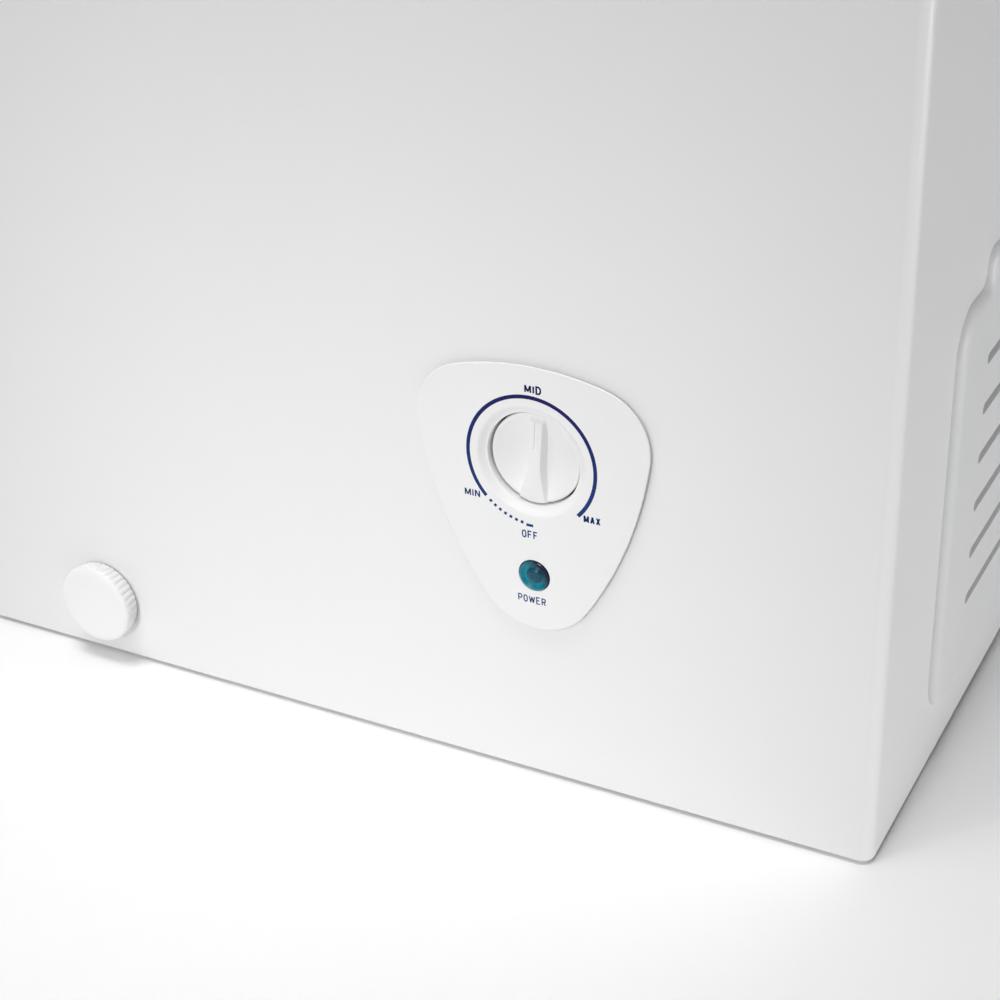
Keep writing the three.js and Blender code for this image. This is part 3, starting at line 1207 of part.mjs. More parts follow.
/** Hanging basket: an open-topped tray whose front and back rims hook over the ledge. */
function basket() {
  const right = LIP_X - LEDGE_WIDTH - BASKET_CLEARANCE;
  const left = right - BASKET_LENGTH;
  const front = LEDGE_INSET + BASKET_CLEARANCE;
  const back = BACK - front;
  const corner = LINER_CORNER;
  const hook = BASKET_CLEARANCE + BASKET_LAP;
  const seat = LEDGE_TOP + GAP;
  const top = seat + BASKET_WALL;
  const t = BASKET_WALL;
  const low = top - BASKET_HEIGHT;
  return cut(
    join(
      slab(rectangle(left, right, front, back, corner), "z", low, top, 4),
      box(left + corner, right - corner, front - hook, front + 1, seat, top),
      box(left + corner, right - corner, back - 1, back + hook, seat, top),
    ),
    slab(rectangle(left + t, right - t, front + t, back - t, corner - t), "z", low + t, top + 1, 4),
  );
}

piece("basket", basket(), "basketCoat");

export default group;
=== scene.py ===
"""A 7 cubic foot chest freezer: cabinet, control panel, drain, side vent, lid and basket.

Shapes are written in millimetres in the frame's axes (+X to the right, the front faces -Y, +Z up)
and become metres when a mesh is made.
"""
import json
import logging
from dataclasses import dataclass, field
from enum import Enum
from math import atan2, cos, pi, radians, sin
from typing import Callable, Iterable, Sequence

import bmesh
import bpy
import numpy as np
from mathutils import Matrix, Vector


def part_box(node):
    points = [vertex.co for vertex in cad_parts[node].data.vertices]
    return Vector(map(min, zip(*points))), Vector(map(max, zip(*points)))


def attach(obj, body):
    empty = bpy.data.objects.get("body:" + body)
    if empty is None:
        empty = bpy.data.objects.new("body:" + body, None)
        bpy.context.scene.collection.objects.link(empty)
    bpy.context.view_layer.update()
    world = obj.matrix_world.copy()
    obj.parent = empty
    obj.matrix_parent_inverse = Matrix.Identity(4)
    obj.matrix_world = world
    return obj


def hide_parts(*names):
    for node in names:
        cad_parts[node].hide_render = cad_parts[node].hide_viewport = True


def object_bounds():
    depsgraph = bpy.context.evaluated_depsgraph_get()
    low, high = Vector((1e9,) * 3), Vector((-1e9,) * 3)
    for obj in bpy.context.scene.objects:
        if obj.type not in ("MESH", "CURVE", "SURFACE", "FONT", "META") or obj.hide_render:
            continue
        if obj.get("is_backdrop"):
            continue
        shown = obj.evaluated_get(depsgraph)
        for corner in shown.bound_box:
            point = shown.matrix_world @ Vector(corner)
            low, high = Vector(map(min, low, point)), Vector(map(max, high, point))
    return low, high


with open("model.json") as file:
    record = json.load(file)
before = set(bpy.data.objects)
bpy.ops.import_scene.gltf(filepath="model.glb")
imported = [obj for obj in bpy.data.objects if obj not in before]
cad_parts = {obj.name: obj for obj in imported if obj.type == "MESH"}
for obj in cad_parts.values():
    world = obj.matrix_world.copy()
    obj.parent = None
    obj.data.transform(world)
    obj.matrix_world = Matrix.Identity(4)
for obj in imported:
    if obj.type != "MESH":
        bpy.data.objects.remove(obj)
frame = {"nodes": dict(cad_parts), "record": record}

MM = 0.001
LOG = logging.getLogger("chest_freezer")
Point = Sequence[float]


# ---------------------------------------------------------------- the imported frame


class Box:
    """Lowest and highest corners of a CAD node, in millimetres."""

    def __init__(self, node: str) -> None:
        """Args: node: name of the CAD node."""
        low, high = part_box(node)
        self.low = np.array(low) / MM
        self.high = np.array(high) / MM
        self.middle = (self.low + self.high) / 2


def box_of(node: str) -> Box:
    """Args: node: a CAD node. Returns: a dataclass field that holds its box."""
    return field(default_factory=lambda: Box(node))


def body_of(node: str) -> str:
    """Args: node: a CAD node. Returns: the body that it rides on."""
    bodies = frame["record"]["behaviour"]["bodies"]
    return next(body for body, members in bodies.items() if node in members)


def slot_of(node: str) -> str:
    """Args: node: a CAD node. Returns: its material slot in the record."""
    rows = frame["record"]["subparts"]
    return next(row["material_slot"] for row in rows if row["node"] == node)


# ---------------------------------------------------------------- meshes


def new_object(name: str, points: np.ndarray, faces: list[Sequence[int]]) -> bpy.types.Object:
    """Makes a mesh object at the origin and settles its seams, normals and sharp edges.

    Args: name: of the object. points: (n, 3) array in millimetres. faces: corner indices.
    Returns: the linked object.
    """
    mesh = bpy.data.meshes.new(name)
    mesh.from_pydata((np.asarray(points, float) * MM).tolist(), [], faces)
    obj = bpy.data.objects.new(name, mesh)
    bpy.context.scene.collection.objects.link(obj)
    settle(obj)
    return obj


def settle(obj: bpy.types.Object, weld: float = 1e-6, sharp: float = 32.0) -> None:
    """Welds seams and poles, turns normals outward and marks edges over an angle as sharp.

    Args: obj: the object. weld: metres. sharp: degrees.
    """
    work = bmesh.new()
    work.from_mesh(obj.data)
    bmesh.ops.remove_doubles(work, verts=work.verts, dist=weld)
    bmesh.ops.dissolve_degenerate(work, edges=work.edges, dist=weld)
    bmesh.ops.recalc_face_normals(work, faces=work.faces)
    work.to_mesh(obj.data)
    work.free()
    obj.data.polygons.foreach_set("use_smooth", [True] * len(obj.data.polygons))
    obj.data.set_sharp_from_angle(angle=radians(sharp))


def weighted(obj: bpy.types.Object) -> bpy.types.Object:
    """Keeps large flat faces flat beside rounded edges. Args: obj. Returns: the same object."""
    modifier = obj.modifiers.new("flat_faces", "WEIGHTED_NORMAL")
    modifier.keep_sharp = True
    modifier.weight = 90
    return obj


def surface(name: str, grid: np.ndarray, close_u: bool = False, close_v: bool = False,
            cap_first: bool = False, cap_last: bool = False) -> bpy.types.Object:
    """Joins rows of points with quads.

    Args: name: of the object. grid: (rows, columns, 3) in millimetres. close_u: the last row
    meets the first. close_v: the last column meets the first. cap_first, cap_last: one face
    over the first or last row.
    Returns: the object.
    """
    rows, columns = grid.shape[:2]
    index = np.arange(rows * columns).reshape(rows, columns)
    down = np.concatenate([index, index[:1]]) if close_u else index
    full = np.concatenate([down, down[:, :1]], axis=1) if close_v else down
    quads = np.stack([full[:-1, :-1], full[:-1, 1:], full[1:, 1:], full[1:, :-1]], axis=-1)
    faces = quads.reshape(-1, 4).tolist()
    if cap_first:
        faces.append(index[0, ::-1].tolist())
    if cap_last:
        faces.append(index[-1].tolist())
    return new_object(name, grid.reshape(-1, 3), faces)


def joined(name: str, parts: Sequence[bpy.types.Object]) -> bpy.types.Object:
    """Puts several meshes into one object. Args: name. parts: objects. Returns: the object."""
    points, faces, start = [], [], 0
    for part in parts:
        points += [vertex.co[:] for vertex in part.data.vertices]
        faces += [[start + i for i in polygon.vertices] for polygon in part.data.polygons]
        start += len(part.data.vertices)
        bpy.data.objects.remove(part)
    return new_object(name, np.array(points) / MM, faces)


def combine(target: bpy.types.Object, tools: Iterable[bpy.types.Object],
            operation: str = "DIFFERENCE") -> bpy.types.Object:
    """Cuts or adds closed shapes for good.

    Args: target: the object that stays. tools: shapes used and removed. operation: Boolean.
    Returns: the target.
    """
    for tool in tools:
        modifier = target.modifiers.new(operation, "BOOLEAN")
        modifier.operation, modifier.solver, modifier.object = operation, "EXACT", tool
        graph = bpy.context.evaluated_depsgraph_get()
        mesh = bpy.data.meshes.new_from_object(target.evaluated_get(graph))
        target.modifiers.clear()
        target.data = mesh
        bpy.data.objects.remove(tool)
    settle(target)
    return target


def arc(centre: Point, radius: float, start: float, end: float, steps: int) -> np.ndarray:
    """Args: centre, radius, start and end in degrees, steps. Returns: (steps + 1, 2) points."""
    angles = np.radians(np.linspace(start, end, steps + 1))
    return np.stack([centre[0] + radius * np.cos(angles), centre[1] + radius * np.sin(angles)], 1)


def rounded(corners: Sequence[tuple[float, float, float]], steps: int = 8) -> np.ndarray:
    """A closed outline with each corner replaced by the arc that touches both its sides.

    Args: corners: (x, y, radius) in order. steps: segments in each arc.
    Returns: (n, 2) points.
    """
    points = []
    for i, (x, y, radius) in enumerate(corners):
        here = np.array([x, y], float)
        if radius <= 0:
            points.append(here)
            continue
        before = np.array(corners[i - 1][:2]) - here
        after = np.array(corners[(i + 1) % len(corners)][:2]) - here
        before, after = before / np.linalg.norm(before), after / np.linalg.norm(after)
        half = np.arccos(np.clip(before @ after, -1, 1)) / 2
        reach = radius / np.tan(half)
        middle = here + (before + after) / np.linalg.norm(before + after) * radius / np.sin(half)
        first, last = here + before * reach - middle, here + after * reach - middle
        sweep = (atan2(last[1], last[0]) - atan2(first[1], first[0]) + pi) % (2 * pi) - pi
        start = atan2(first[1], first[0])
        for k in range(steps + 1):
            angle = start + sweep * k / steps
            points.append(middle + radius * np.array([cos(angle), sin(angle)]))
    return np.array(points)


def rectangle(x0: float, x1: float, y0: float, y1: float, radius: float,
              steps: int = 8) -> np.ndarray:
    """Args: sides, corner radius, arc segments. Returns: an anticlockwise outline."""
    return rounded([(x0, y0, radius), (x1, y0, radius), (x1, y1, radius), (x0, y1, radius)], steps)


def inset(outline: np.ndarray, distance: float) -> np.ndarray:
    """Moves an anticlockwise outline inwards along its mitred normals.

    Args: outline: (n, 2). distance: millimetres. Returns: the same number of points.
    """
    before = outline - np.roll(outline, 1, axis=0)
    after = np.roll(outline, -1, axis=0) - outline
    normals = []
    for side in (before, after):
        length = np.linalg.norm(side, axis=1, keepdims=True)
        normals.append(np.stack([-side[:, 1], side[:, 0]], 1) / np.maximum(length, 1e-9))
    middle = normals[0] + normals[1]
    middle /= np.linalg.norm(middle, axis=1, keepdims=True)
    reach = distance / np.maximum((middle * normals[0]).sum(1, keepdims=True), 0.3)
    return outline + middle * reach


class Axis(Enum):
    """Direction in which a flat outline is carried; the value is its place in (x, y, z)."""

    X = 0
    Y = 1
    Z = 2

    def place(self, outline: np.ndarray, station: float) -> np.ndarray:
        """Args: outline: (n, 2). station: along the axis. Returns: (n, 3) points."""
        return np.insert(outline, self.value, station, axis=1)


def slab(name: str, outline: np.ndarray, axis: Axis, start: float, end: float,
         shear: tuple[float, float] = (0, 0)) -> bpy.types.Object:
    """A plate of any outline. Args: name, outline, axis, start, end, shear of the far face.
    Returns: the object."""
    far = outline + np.array(shear)
    return surface(name, np.stack([axis.place(outline, start), axis.place(far, end)]),
                   close_v=True, cap_first=True, cap_last=True)


def revolved(name: str, profile: Sequence[Point], centre: Point, axis: Axis, columns: int = 64,
             ripple: Callable[[np.ndarray, float], np.ndarray] | None = None) -> bpy.types.Object:
    """Turns a closed (radius, station) profile round an axis; radius zero makes a pole.

    Args: name. profile: points. centre: of the two other axes. axis. columns. ripple: radius
    added at (angles, profile place from 0 to 1).
    Returns: the object.
    """
    angles = np.linspace(0, 2 * pi, columns, endpoint=False)
    rows = []
    for i, (radius, station) in enumerate(profile):
        reach = np.full(columns, float(radius))
        if ripple is not None:
            reach = reach + ripple(angles, i / (len(profile) - 1))
        ring = np.stack([centre[0] + reach * np.cos(angles), centre[1] + reach * np.sin(angles)], 1)
        rows.append(axis.place(ring, station))
    grid = np.stack(rows)
    return surface(name, grid, close_u=profile[0][0] > 0, close_v=True)


def wire(name: str, path: np.ndarray, radius: float, closed: bool = False,
         sides: int = 8) -> bpy.types.Object:
    """A round bar along a path, its section carried without twist.

    Args: name. path: (n, 3) points. radius. closed: the ends meet. sides.
    Returns: the object.
    """
    ahead = np.roll(path, -1, axis=0) - path
    behind = path - np.roll(path, 1, axis=0)
    if not closed:
        ahead[-1], behind[0] = behind[-1], ahead[0]
    tangents = ahead / np.linalg.norm(ahead, axis=1, keepdims=True)
    tangents = tangents + behind / np.linalg.norm(behind, axis=1, keepdims=True)
    tangents /= np.linalg.norm(tangents, axis=1, keepdims=True)
    side = np.cross(tangents[0], [0.31, 0.57, 0.76])
    rows = []
    angles = np.linspace(0, 2 * pi, sides, endpoint=False)
    for point, tangent in zip(path, tangents):
        side = side - tangent * (side @ tangent)
        side /= np.linalg.norm(side)
        other = np.cross(tangent, side)
        rows.append(point + radius * (np.outer(np.cos(angles), side) + np.outer(np.sin(angles), other)))
    return surface(name, np.stack(rows), close_u=closed, close_v=True,
                   cap_first=not closed, cap_last=not closed)


def smoothstep(value: np.ndarray, low: float, high: float) -> np.ndarray:
    """Args: value, low, high. Returns: 0 below low, 1 above high, eased between."""
    t = np.clip((value - low) / (high - low), 0, 1)
    return t * t * (3 - 2 * t)


# ---------------------------------------------------------------- finishes


def linear(colour: str) -> tuple[float, float, float, float]:
    """Args: colour: sRGB hex such as E8E8E8. Returns: scene-linear RGBA."""
    channels = [int(colour[i:i + 2], 16) / 255 for i in (0, 2, 4)]
    curve = [c / 12.92 if c <= 0.04045 else ((c + 0.055) / 1.055) ** 2.4 for c in channels]
    return (*curve, 1.0)


def add_node(tree: bpy.types.NodeTree, kind: str, values: dict | None = None,
             links: dict | None = None, **settings: object) -> bpy.types.Node:
    """Adds a node. Args: tree, kind, values of its inputs, links into them, its settings.
    Returns: the node."""
    node = tree.nodes.new(kind)
    for key, value in settings.items():
        setattr(node, key, value)
    for key, value in (values or {}).items():
        node.inputs[key].default_value = value
    for key, source in (links or {}).items():
        tree.links.new(source, node.inputs[key])
    return node


class Pattern(Enum):
    """What breaks up a surface."""

    GRAIN = "ShaderNodeTexNoise"
    CELLS = "ShaderNodeTexVoronoi"
    BANDS = "ShaderNodeTexWave"


@dataclass(frozen=True)
class Finish:
    """A real surface: two close tones, a range of gloss and a relief, all by real size."""

    slot: str
    name: str
    dark: str
    light: str
    mottle: float = 60.0  # millimetres across a patch of tone
    gloss: tuple[float, float] = (0.35, 0.45)  # roughness
    relief: float = 1.5  # millimetres across a bump
    depth: float = 0.01  # millimetres
    metallic: float = 0.0
    coat: float = 0.0
    pattern: Pattern = Pattern.GRAIN
    stretch: tuple[float, float, float] = (1, 1, 1)
    specular: float = 0.5

    def texture(self, tree: bpy.types.NodeTree, place: bpy.types.NodeSocket, size: float,
                pattern: Pattern) -> bpy.types.NodeSocket:
        """Args: tree, place: coordinates, size: millimetres, pattern. Returns: a 0 to 1 value."""
        scale = 1 / (size * MM)
        if pattern is Pattern.BANDS:
            node = add_node(tree, pattern.value, {"Scale": scale / 20, "Distortion": 1.5},
                            {"Vector": place}, bands_direction="DIAGONAL")
            return node.outputs["Fac"]
        if pattern is Pattern.CELLS:
            node = add_node(tree, pattern.value, {"Scale": scale}, {"Vector": place})
            return node.outputs["Distance"]
        node = add_node(tree, pattern.value, {"Scale": scale, "Detail": 3.0}, {"Vector": place})
        return node.outputs["Fac"]

    def colour(self, tree: bpy.types.NodeTree, place: bpy.types.NodeSocket,
               patch: bpy.types.NodeSocket) -> bpy.types.NodeSocket:
        """Args: tree, place, patch: mottle value. Returns: the base colour."""
        mix = add_node(tree, "ShaderNodeMix", {6: linear(self.dark), 7: linear(self.light)},
                       {0: patch}, data_type="RGBA")
        return mix.outputs[2]

    def material(self) -> bpy.types.Material:
        """Returns: the node material, made once."""
        made = bpy.data.materials.get(self.name)
        if made is not None:
            return made
        material = bpy.data.materials.new(self.name)
        material.use_nodes = True
        tree = material.node_tree
        shader = tree.nodes["Principled BSDF"]
        coordinates = add_node(tree, "ShaderNodeTexCoord").outputs["Object"]
        mapped = add_node(tree, "ShaderNodeMapping", {"Scale": self.stretch}, {"Vector": coordinates})
        place = mapped.outputs["Vector"]
        patch = self.texture(tree, place, self.mottle, Pattern.GRAIN)
        bumps = self.texture(tree, place, self.relief, self.pattern)
        shader.inputs["Metallic"].default_value = self.metallic
        shader.inputs["Coat Weight"].default_value = self.coat
        shader.inputs["Coat Roughness"].default_value = 0.12
        if not self.metallic:
            shader.inputs["Specular IOR Level"].default_value = self.specular
        rough = add_node(tree, "ShaderNodeMapRange", {"To Min": self.gloss[0], "To Max": self.gloss[1]},
                         {"Value": patch})
        bump = add_node(tree, "ShaderNodeBump", {"Strength": 1.0, "Distance": self.depth * MM},
                        {"Height": bumps})
        tree.links.new(self.colour(tree, place, patch), shader.inputs["Base Color"])
        tree.links.new(rough.outputs["Result"], shader.inputs["Roughness"])
        tree.links.new(bump.outputs["Normal"], shader.inputs["Normal"])
        self.extend(tree, shader)
        return material

    def extend(self, tree: bpy.types.NodeTree, shader: bpy.types.Node) -> None:
        """Adds what only this finish has. Args: tree, shader."""


@dataclass(frozen=True)
class Spangle(Finish):
    """Hot-dip zinc, whose crystals each take the light a little differently."""

    def colour(self, tree: bpy.types.NodeTree, place: bpy.types.NodeSocket,
               patch: bpy.types.NodeSocket) -> bpy.types.NodeSocket:
        """Args: tree, place, patch. Returns: tone by crystal."""
        cells = add_node(tree, "ShaderNodeTexVoronoi", {"Scale": 1 / (9 * MM)}, {"Vector": place})
        grey = add_node(tree, "ShaderNodeSeparateColor", links={"Color": cells.outputs["Color"]})
        mix = add_node(tree, "ShaderNodeMix", {6: linear(self.dark), 7: linear(self.light)},
                       {0: grey.outputs[0]}, data_type="RGBA")
        return mix.outputs[2]


@dataclass(frozen=True)
class FadedInk(Finish):
    """Printing that runs from violet navy above to a greener blue below a height."""

    top: float = 200.0  # millimetres above the floor
    bottom: float = 130.0

    def colour(self, tree: bpy.types.NodeTree, place: bpy.types.NodeSocket,
               patch: bpy.types.NodeSocket) -> bpy.types.NodeSocket:
        """Args: tree, place, patch. Returns: colour by height, with a little mottle."""
        height = add_node(tree, "ShaderNodeSeparateXYZ", links={"Vector": place}).outputs["Z"]
        rise = add_node(tree, "ShaderNodeMapRange",
                        {"From Min": self.bottom * MM, "From Max": self.top * MM}, {"Value": height})
        uneven = add_node(tree, "ShaderNodeMath", {1: 0.12}, {0: patch}, operation="MULTIPLY")
        level = add_node(tree, "ShaderNodeMath", links={0: rise.outputs["Result"],
                                                        1: uneven.outputs[0]},
                         operation="ADD", use_clamp=True)
        mix = add_node(tree, "ShaderNodeMix", {6: linear(self.dark), 7: linear(self.light)},
                       {0: level.outputs[0]}, data_type="RGBA")
        return mix.outputs[2]


@dataclass(frozen=True)
class LampLens(Finish):
    """Tinted lens: a mid-tone boss, and a ring whose colour runs from a painted reflection at the lower
    left to a painted shade at the upper right.
    """

    centre: tuple[float, float, float] = (0, 0, 0)
    boss: float = 3.6
    ring: float = 6.6
    # painted shade of the ring towards the upper right
    painted_shade: str = "061634"

    def colour(self, tree: bpy.types.NodeTree, place: bpy.types.NodeSocket,
               patch: bpy.types.NodeSocket) -> bpy.types.NodeSocket:
        """Args: tree, place, patch. Returns: colour by radius, and by direction the ring's painted
        reflection and painted shade.
        """
        centre = [c * MM for c in self.centre]
        away = add_node(tree, "ShaderNodeVectorMath", {1: centre}, {0: place}, operation="SUBTRACT")
        flat = add_node(tree, "ShaderNodeVectorMath", {1: (1, 0, 1)}, {0: away.outputs[0]},
                        operation="MULTIPLY")
        radius = add_node(tree, "ShaderNodeVectorMath", links={0: flat.outputs[0]}, operation="LENGTH")
        # slant from the lower left to the upper right: along it the ring runs from painted reflection to
        # painted shade
        painted_shade_slant = add_node(tree, "ShaderNodeVectorMath", {1: (0.8, 0, 0.6)}, {0: flat.outputs[0]},
                         operation="DOT_PRODUCT")
        side = add_node(tree, "ShaderNodeMapRange",
                        {"From Min": -1.0 * MM, "From Max": 4.6 * MM}, {"Value": painted_shade_slant.outputs["Value"]})
        ring = add_node(tree, "ShaderNodeMix", {6: linear(self.light), 7: linear(self.painted_shade)},
                        {0: side.outputs["Result"]}, data_type="RGBA")
        outside = add_node(tree, "ShaderNodeMapRange",
                           {"From Min": (self.boss - 0.3) * MM, "From Max": (self.boss + 0.5) * MM},
                           {"Value": radius.outputs["Value"]})
        mix = add_node(tree, "ShaderNodeMix", {6: linear(self.dark)},
                       {0: outside.outputs["Result"], 7: ring.outputs[2]}, data_type="RGBA")
        return mix.outputs[2]


# Polyester powder paint over steel, with a faint orange peel.
WHITE_ENAMEL = Finish("white_enamel", "powder_coated_steel", "EEEEEF", "F1F1F2", 180,
                      (0.36, 0.42), 2.6, 0.004, coat=0.15)
# Hot-dip galvanised sheet, dull with visible crystals.
GALVANISED = Spangle("galvanised_steel", "galvanised_sheet", "9A9EA0", "B4B8BA", 40,
                     (0.42, 0.6), 4.0, 0.01, metallic=1.0)
# Rigid polyurethane foam, blown in place.
FOAM = Finish("insulation_foam", "polyurethane_foam", "D8BE7C", "E8D6A0", 25, (0.85, 0.95), 1.2, 0.3,
              pattern=Pattern.CELLS)
# Stucco-embossed painted aluminium of the tub.
LINER = Finish("liner_sheet", "stucco_embossed_aluminium", "D4D8DA", "E4E7E8", 90, (0.3, 0.42), 3.2, 0.12,
               metallic=0.35, pattern=Pattern.CELLS)
# Injection-moulded ABS with a fine spark-eroded grain.
WHITE_ABS = Finish("white_abs", "moulded_white_abs", "E4E5E5", "E9E9E9", 70, (0.42, 0.5), 0.5, 0.006)
# Glossier ABS of the control panel and its knob.
FASCIA = Finish("fascia_plastic", "satin_white_abs", "F0F0F0", "F4F4F4", 50, (0.4, 0.47), 0.35, 0.002)
# Polypropylene screw cap.
CAP = Finish("cap_plastic", "white_polypropylene", "F4F4F3", "F8F8F8", 20, (0.45, 0.52), 0.4, 0.003)
# Glass-filled nylon of the hidden electrical parts.
GREY_PLASTIC = Finish("grey_plastic", "grey_nylon", "75797C", "858A8D", 20, (0.5, 0.6), 0.6, 0.01)
# Black polypropylene covers.
BLACK_PLASTIC = Finish("black_plastic", "black_polypropylene", "121314", "1C1D1F", 25, (0.45, 0.58),
                       0.6, 0.01)
# Moulded rubber, dusty in the hollows.
BLACK_RUBBER = Finish("black_rubber", "black_moulded_rubber", "0E0E0F", "1D1D1E", 12, (0.7, 0.85),
                      0.8, 0.03)
# Extruded soft vinyl with its magnet strip inside.
VINYL = Finish("gasket_vinyl", "grey_gasket_vinyl", "A9ABAC", "BDBFC0", 30, (0.55, 0.65), 1.0, 0.015,
               stretch=(1, 1, 4))
# Drawn copper tube, slightly tarnished.
COPPER = Finish("copper_tube", "drawn_copper", "8E4B2C", "C07850", 18, (0.28, 0.5), 0.8, 0.006,
                metallic=1.0)
# Stoved black paint on the compressor.
BLACK_ENAMEL = Finish("black_enamel", "stoved_black_paint", "0B0B0C", "141415", 40, (0.25, 0.4),
                      1.8, 0.01, coat=0.3)
# Bright zinc plating on fixings and hinges.
ZINC = Finish("zinc_plate", "bright_zinc_plate", "A8ABAE", "C4C7CA", 8, (0.25, 0.4), 0.5, 0.004,
              metallic=1.0)
# Braided sleeve over the wires.
SLEEVE = Finish("cable_sleeve", "braided_cable_sleeve", "0F1011", "242628", 6, (0.6, 0.75), 1.6, 0.15,
                pattern=Pattern.BANDS)
# Plastic coating dipped over steel wire.
DIPPED = Finish("basket_coating", "dipped_white_coating", "E2E3E3", "ECECEC", 30, (0.35, 0.5), 3.0, 0.03)
# Pad-printed ink.
INK = FadedInk("fascia_plastic", "navy_pad_print", "10407E", "130C58", 8, (0.55, 0.65), 0.4, 0.001,
               specular=0.2)

FINISHES = {
    f.slot: f for f in (
        WHITE_ENAMEL, GALVANISED, FOAM, LINER, WHITE_ABS, FASCIA, CAP, GREY_PLASTIC, BLACK_PLASTIC,
        BLACK_RUBBER, VINYL, COPPER, BLACK_ENAMEL, ZINC, SLEEVE, DIPPED,
    )
}


def show(obj: bpy.types.Object, finish: Finish, node: str) -> bpy.types.Object:
    """Finishes a piece and lets it stand for a CAD node.

    Args: obj: the piece. finish. node: the CAD node that it replaces and whose body it rides.
    Returns: the piece.
    """
    obj.data.materials.clear()
    obj.data.materials.append(finish.material())
    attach(obj, body_of(node))
    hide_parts(node)
    LOG.info("made %s", obj.name)
    return obj


# ---------------------------------------------------------------- cabinet


@dataclass
class Cabinet:
    """Painted skin, tub, plastic top frame and feet."""

    corner: float = 6.0
    sheet: float = 1.0
    hem: float = 0.8  # radius of the fold along the bottom edge
    plain_band: float = 40.0  # height of the row of faces above that fold
    return_width: float = 5.0  # turned-in strip under the bottom edge
    wall: float = 58.0
    tub_corner: float = 32.0
    tub_fold: float = 12.0
    tub_sheet: float = 1.2
    bay_width: float = 232.0  # from the right face to the machine bay's inner wall
    step_run: float = 55.0  # insulation between that wall and the tub
    step_height: float = 300.0  # tub's floor over the bay, above the room's floor
    lip_inset: float = 62.5  # face of the frame's lip, in from the cabinet's faces
    ledge_inset: float = 72.5
    ledge_height: float = 751.0
    foot_top: float = 5.7  # top of a foot's disc above the floor
    skin: Box = box_of("outer_wrapper")
    tub: Box = box_of("inner_liner")

    def plan(self, distance: float, radius: float, steps: int = 10) -> np.ndarray:
        """Args: distance in from the cabinet's faces, corner radius. Returns: the outline."""
        low, high = self.skin.low, Box("rear_panel").high
        return rectangle(low[0] + distance, self.skin.high[0] - distance, low[1] + distance,
                         high[1] - distance, radius, steps)

    def wrapper_line(self, distance: float) -> np.ndarray:
        """Args: distance in from the outer face. Returns: the open line back, front, back."""
        low, high = self.skin.low, self.skin.high
        radius = max(self.corner - distance, 0.3)
        left, right, front = low[0] + distance, high[0] - distance, low[1] + distance
        turn_left = arc((left + radius, front + radius), radius, 180, 270, 12)
        turn_right = arc((right - radius, front + radius), radius, 270, 360, 12)
        return np.concatenate([[(left, high[1])], turn_left, turn_right, [(right, high[1])]])

    def wrapper(self) -> bpy.types.Object:
        """Sheet section: outer face, folded bottom edge, turned-in strip, then the inner face.

        Returns: the painted skin.
        """
        bottom, top = self.skin.low[2], self.skin.high[2]
        bend = arc((self.hem, bottom + self.hem), self.hem, 180, 270, 6)
        turned_in = bottom + self.sheet * 0.8
        section = [(0, top), (0, bottom + self.plain_band), *bend.tolist(), (self.return_width, bottom),
                   (self.return_width, turned_in), (self.hem + 0.4, turned_in),
                   (self.sheet, bottom + self.hem + 0.6),
                   (self.sheet, bottom + self.plain_band), (self.sheet, top)]
        grid = np.stack([Axis.Z.place(self.wrapper_line(d), z) for d, z in section])
        return surface("outer_wrapper_sheet", grid, close_u=True)

    def close_ends(self, obj: bpy.types.Object) -> None:
        """Closes the sheet's two rear edges. Args: obj: the skin."""
        work = bmesh.new()
        work.from_mesh(obj.data)
        open_edges = [e for e in work.edges if e.is_boundary]
        bmesh.ops.contextual_create(work, geom=open_edges)
        bmesh.ops.holes_fill(work, edges=[e for e in work.edges if e.is_boundary], sides=0)
        work.to_mesh(obj.data)
        work.free()
        settle(obj)

    def build_wrapper(self, panel: "ControlPanel", drain: "Drain", vent: "SideVent") -> None:
        """Args: the sub-assemblies whose openings go through the skin."""
        obj = self.wrapper()
        self.close_ends(obj)
        front = self.skin.low[1]
        openings = {"dial_opening": arc(panel.axis, panel.dial_opening, 0, 354, 59),
                    "lens_opening": arc(panel.lens_axis, panel.lens_opening, 0, 350, 35),
                    "drain_opening": arc(drain.axis, drain.opening, 0, 350, 35)}
        cutters = [slab(name, outline, Axis.Y, front - 1, front + 3) for name, outline in openings.items()]
        show(weighted(combine(obj, [*cutters, vent.opening()])), WHITE_ENAMEL, "outer_wrapper")

    def tub_block(self, name: str, distance: float, top: float) -> bpy.types.Object:
        """The tub's side view cut to its plan. Args: name, distance in, top. Returns: a solid."""
        low, high = self.tub.low, self.tub.high
        fold = self.tub_fold
        step_x = self.skin.high[0] - self.bay_width - self.step_run
        step_z = self.step_height
        view = rounded([
            (low[0] + distance, low[2] + distance, fold - distance),
            (step_x - distance, low[2] + distance, fold - distance),
            (step_x - distance, step_z + distance, fold),
            (high[0] - distance, step_z + distance, fold - distance),
            (high[0] - distance, top, 0), (low[0] + distance, top, 0)], 8)
        plan = self.plan(self.wall + distance, self.tub_corner - distance)
        side = slab(name, view, Axis.Y, low[1] - 20, high[1] + 20)
        return combine(side, [slab("plan", plan, Axis.Z, -10, top + 10)], "INTERSECT")

    def build_tub(self) -> None:
        """Embossed liner with its step over the machine bay and the drain hole."""
        top = self.tub.high[2]
        tub = self.tub_block("inner_tub", 0, top)
        hollow = self.tub_block("tub_hollow", self.tub_sheet, top + 5)
        plug = Box("drain_plug").middle
        drain = slab("hole", arc((plug[0], plug[1]), 9, 0, 350, 35), Axis.Z,
                     self.tub.low[2] - 2, self.tub.low[2] + 4)
        show(weighted(combine(tub, [hollow, drain])), LINER, "inner_liner")

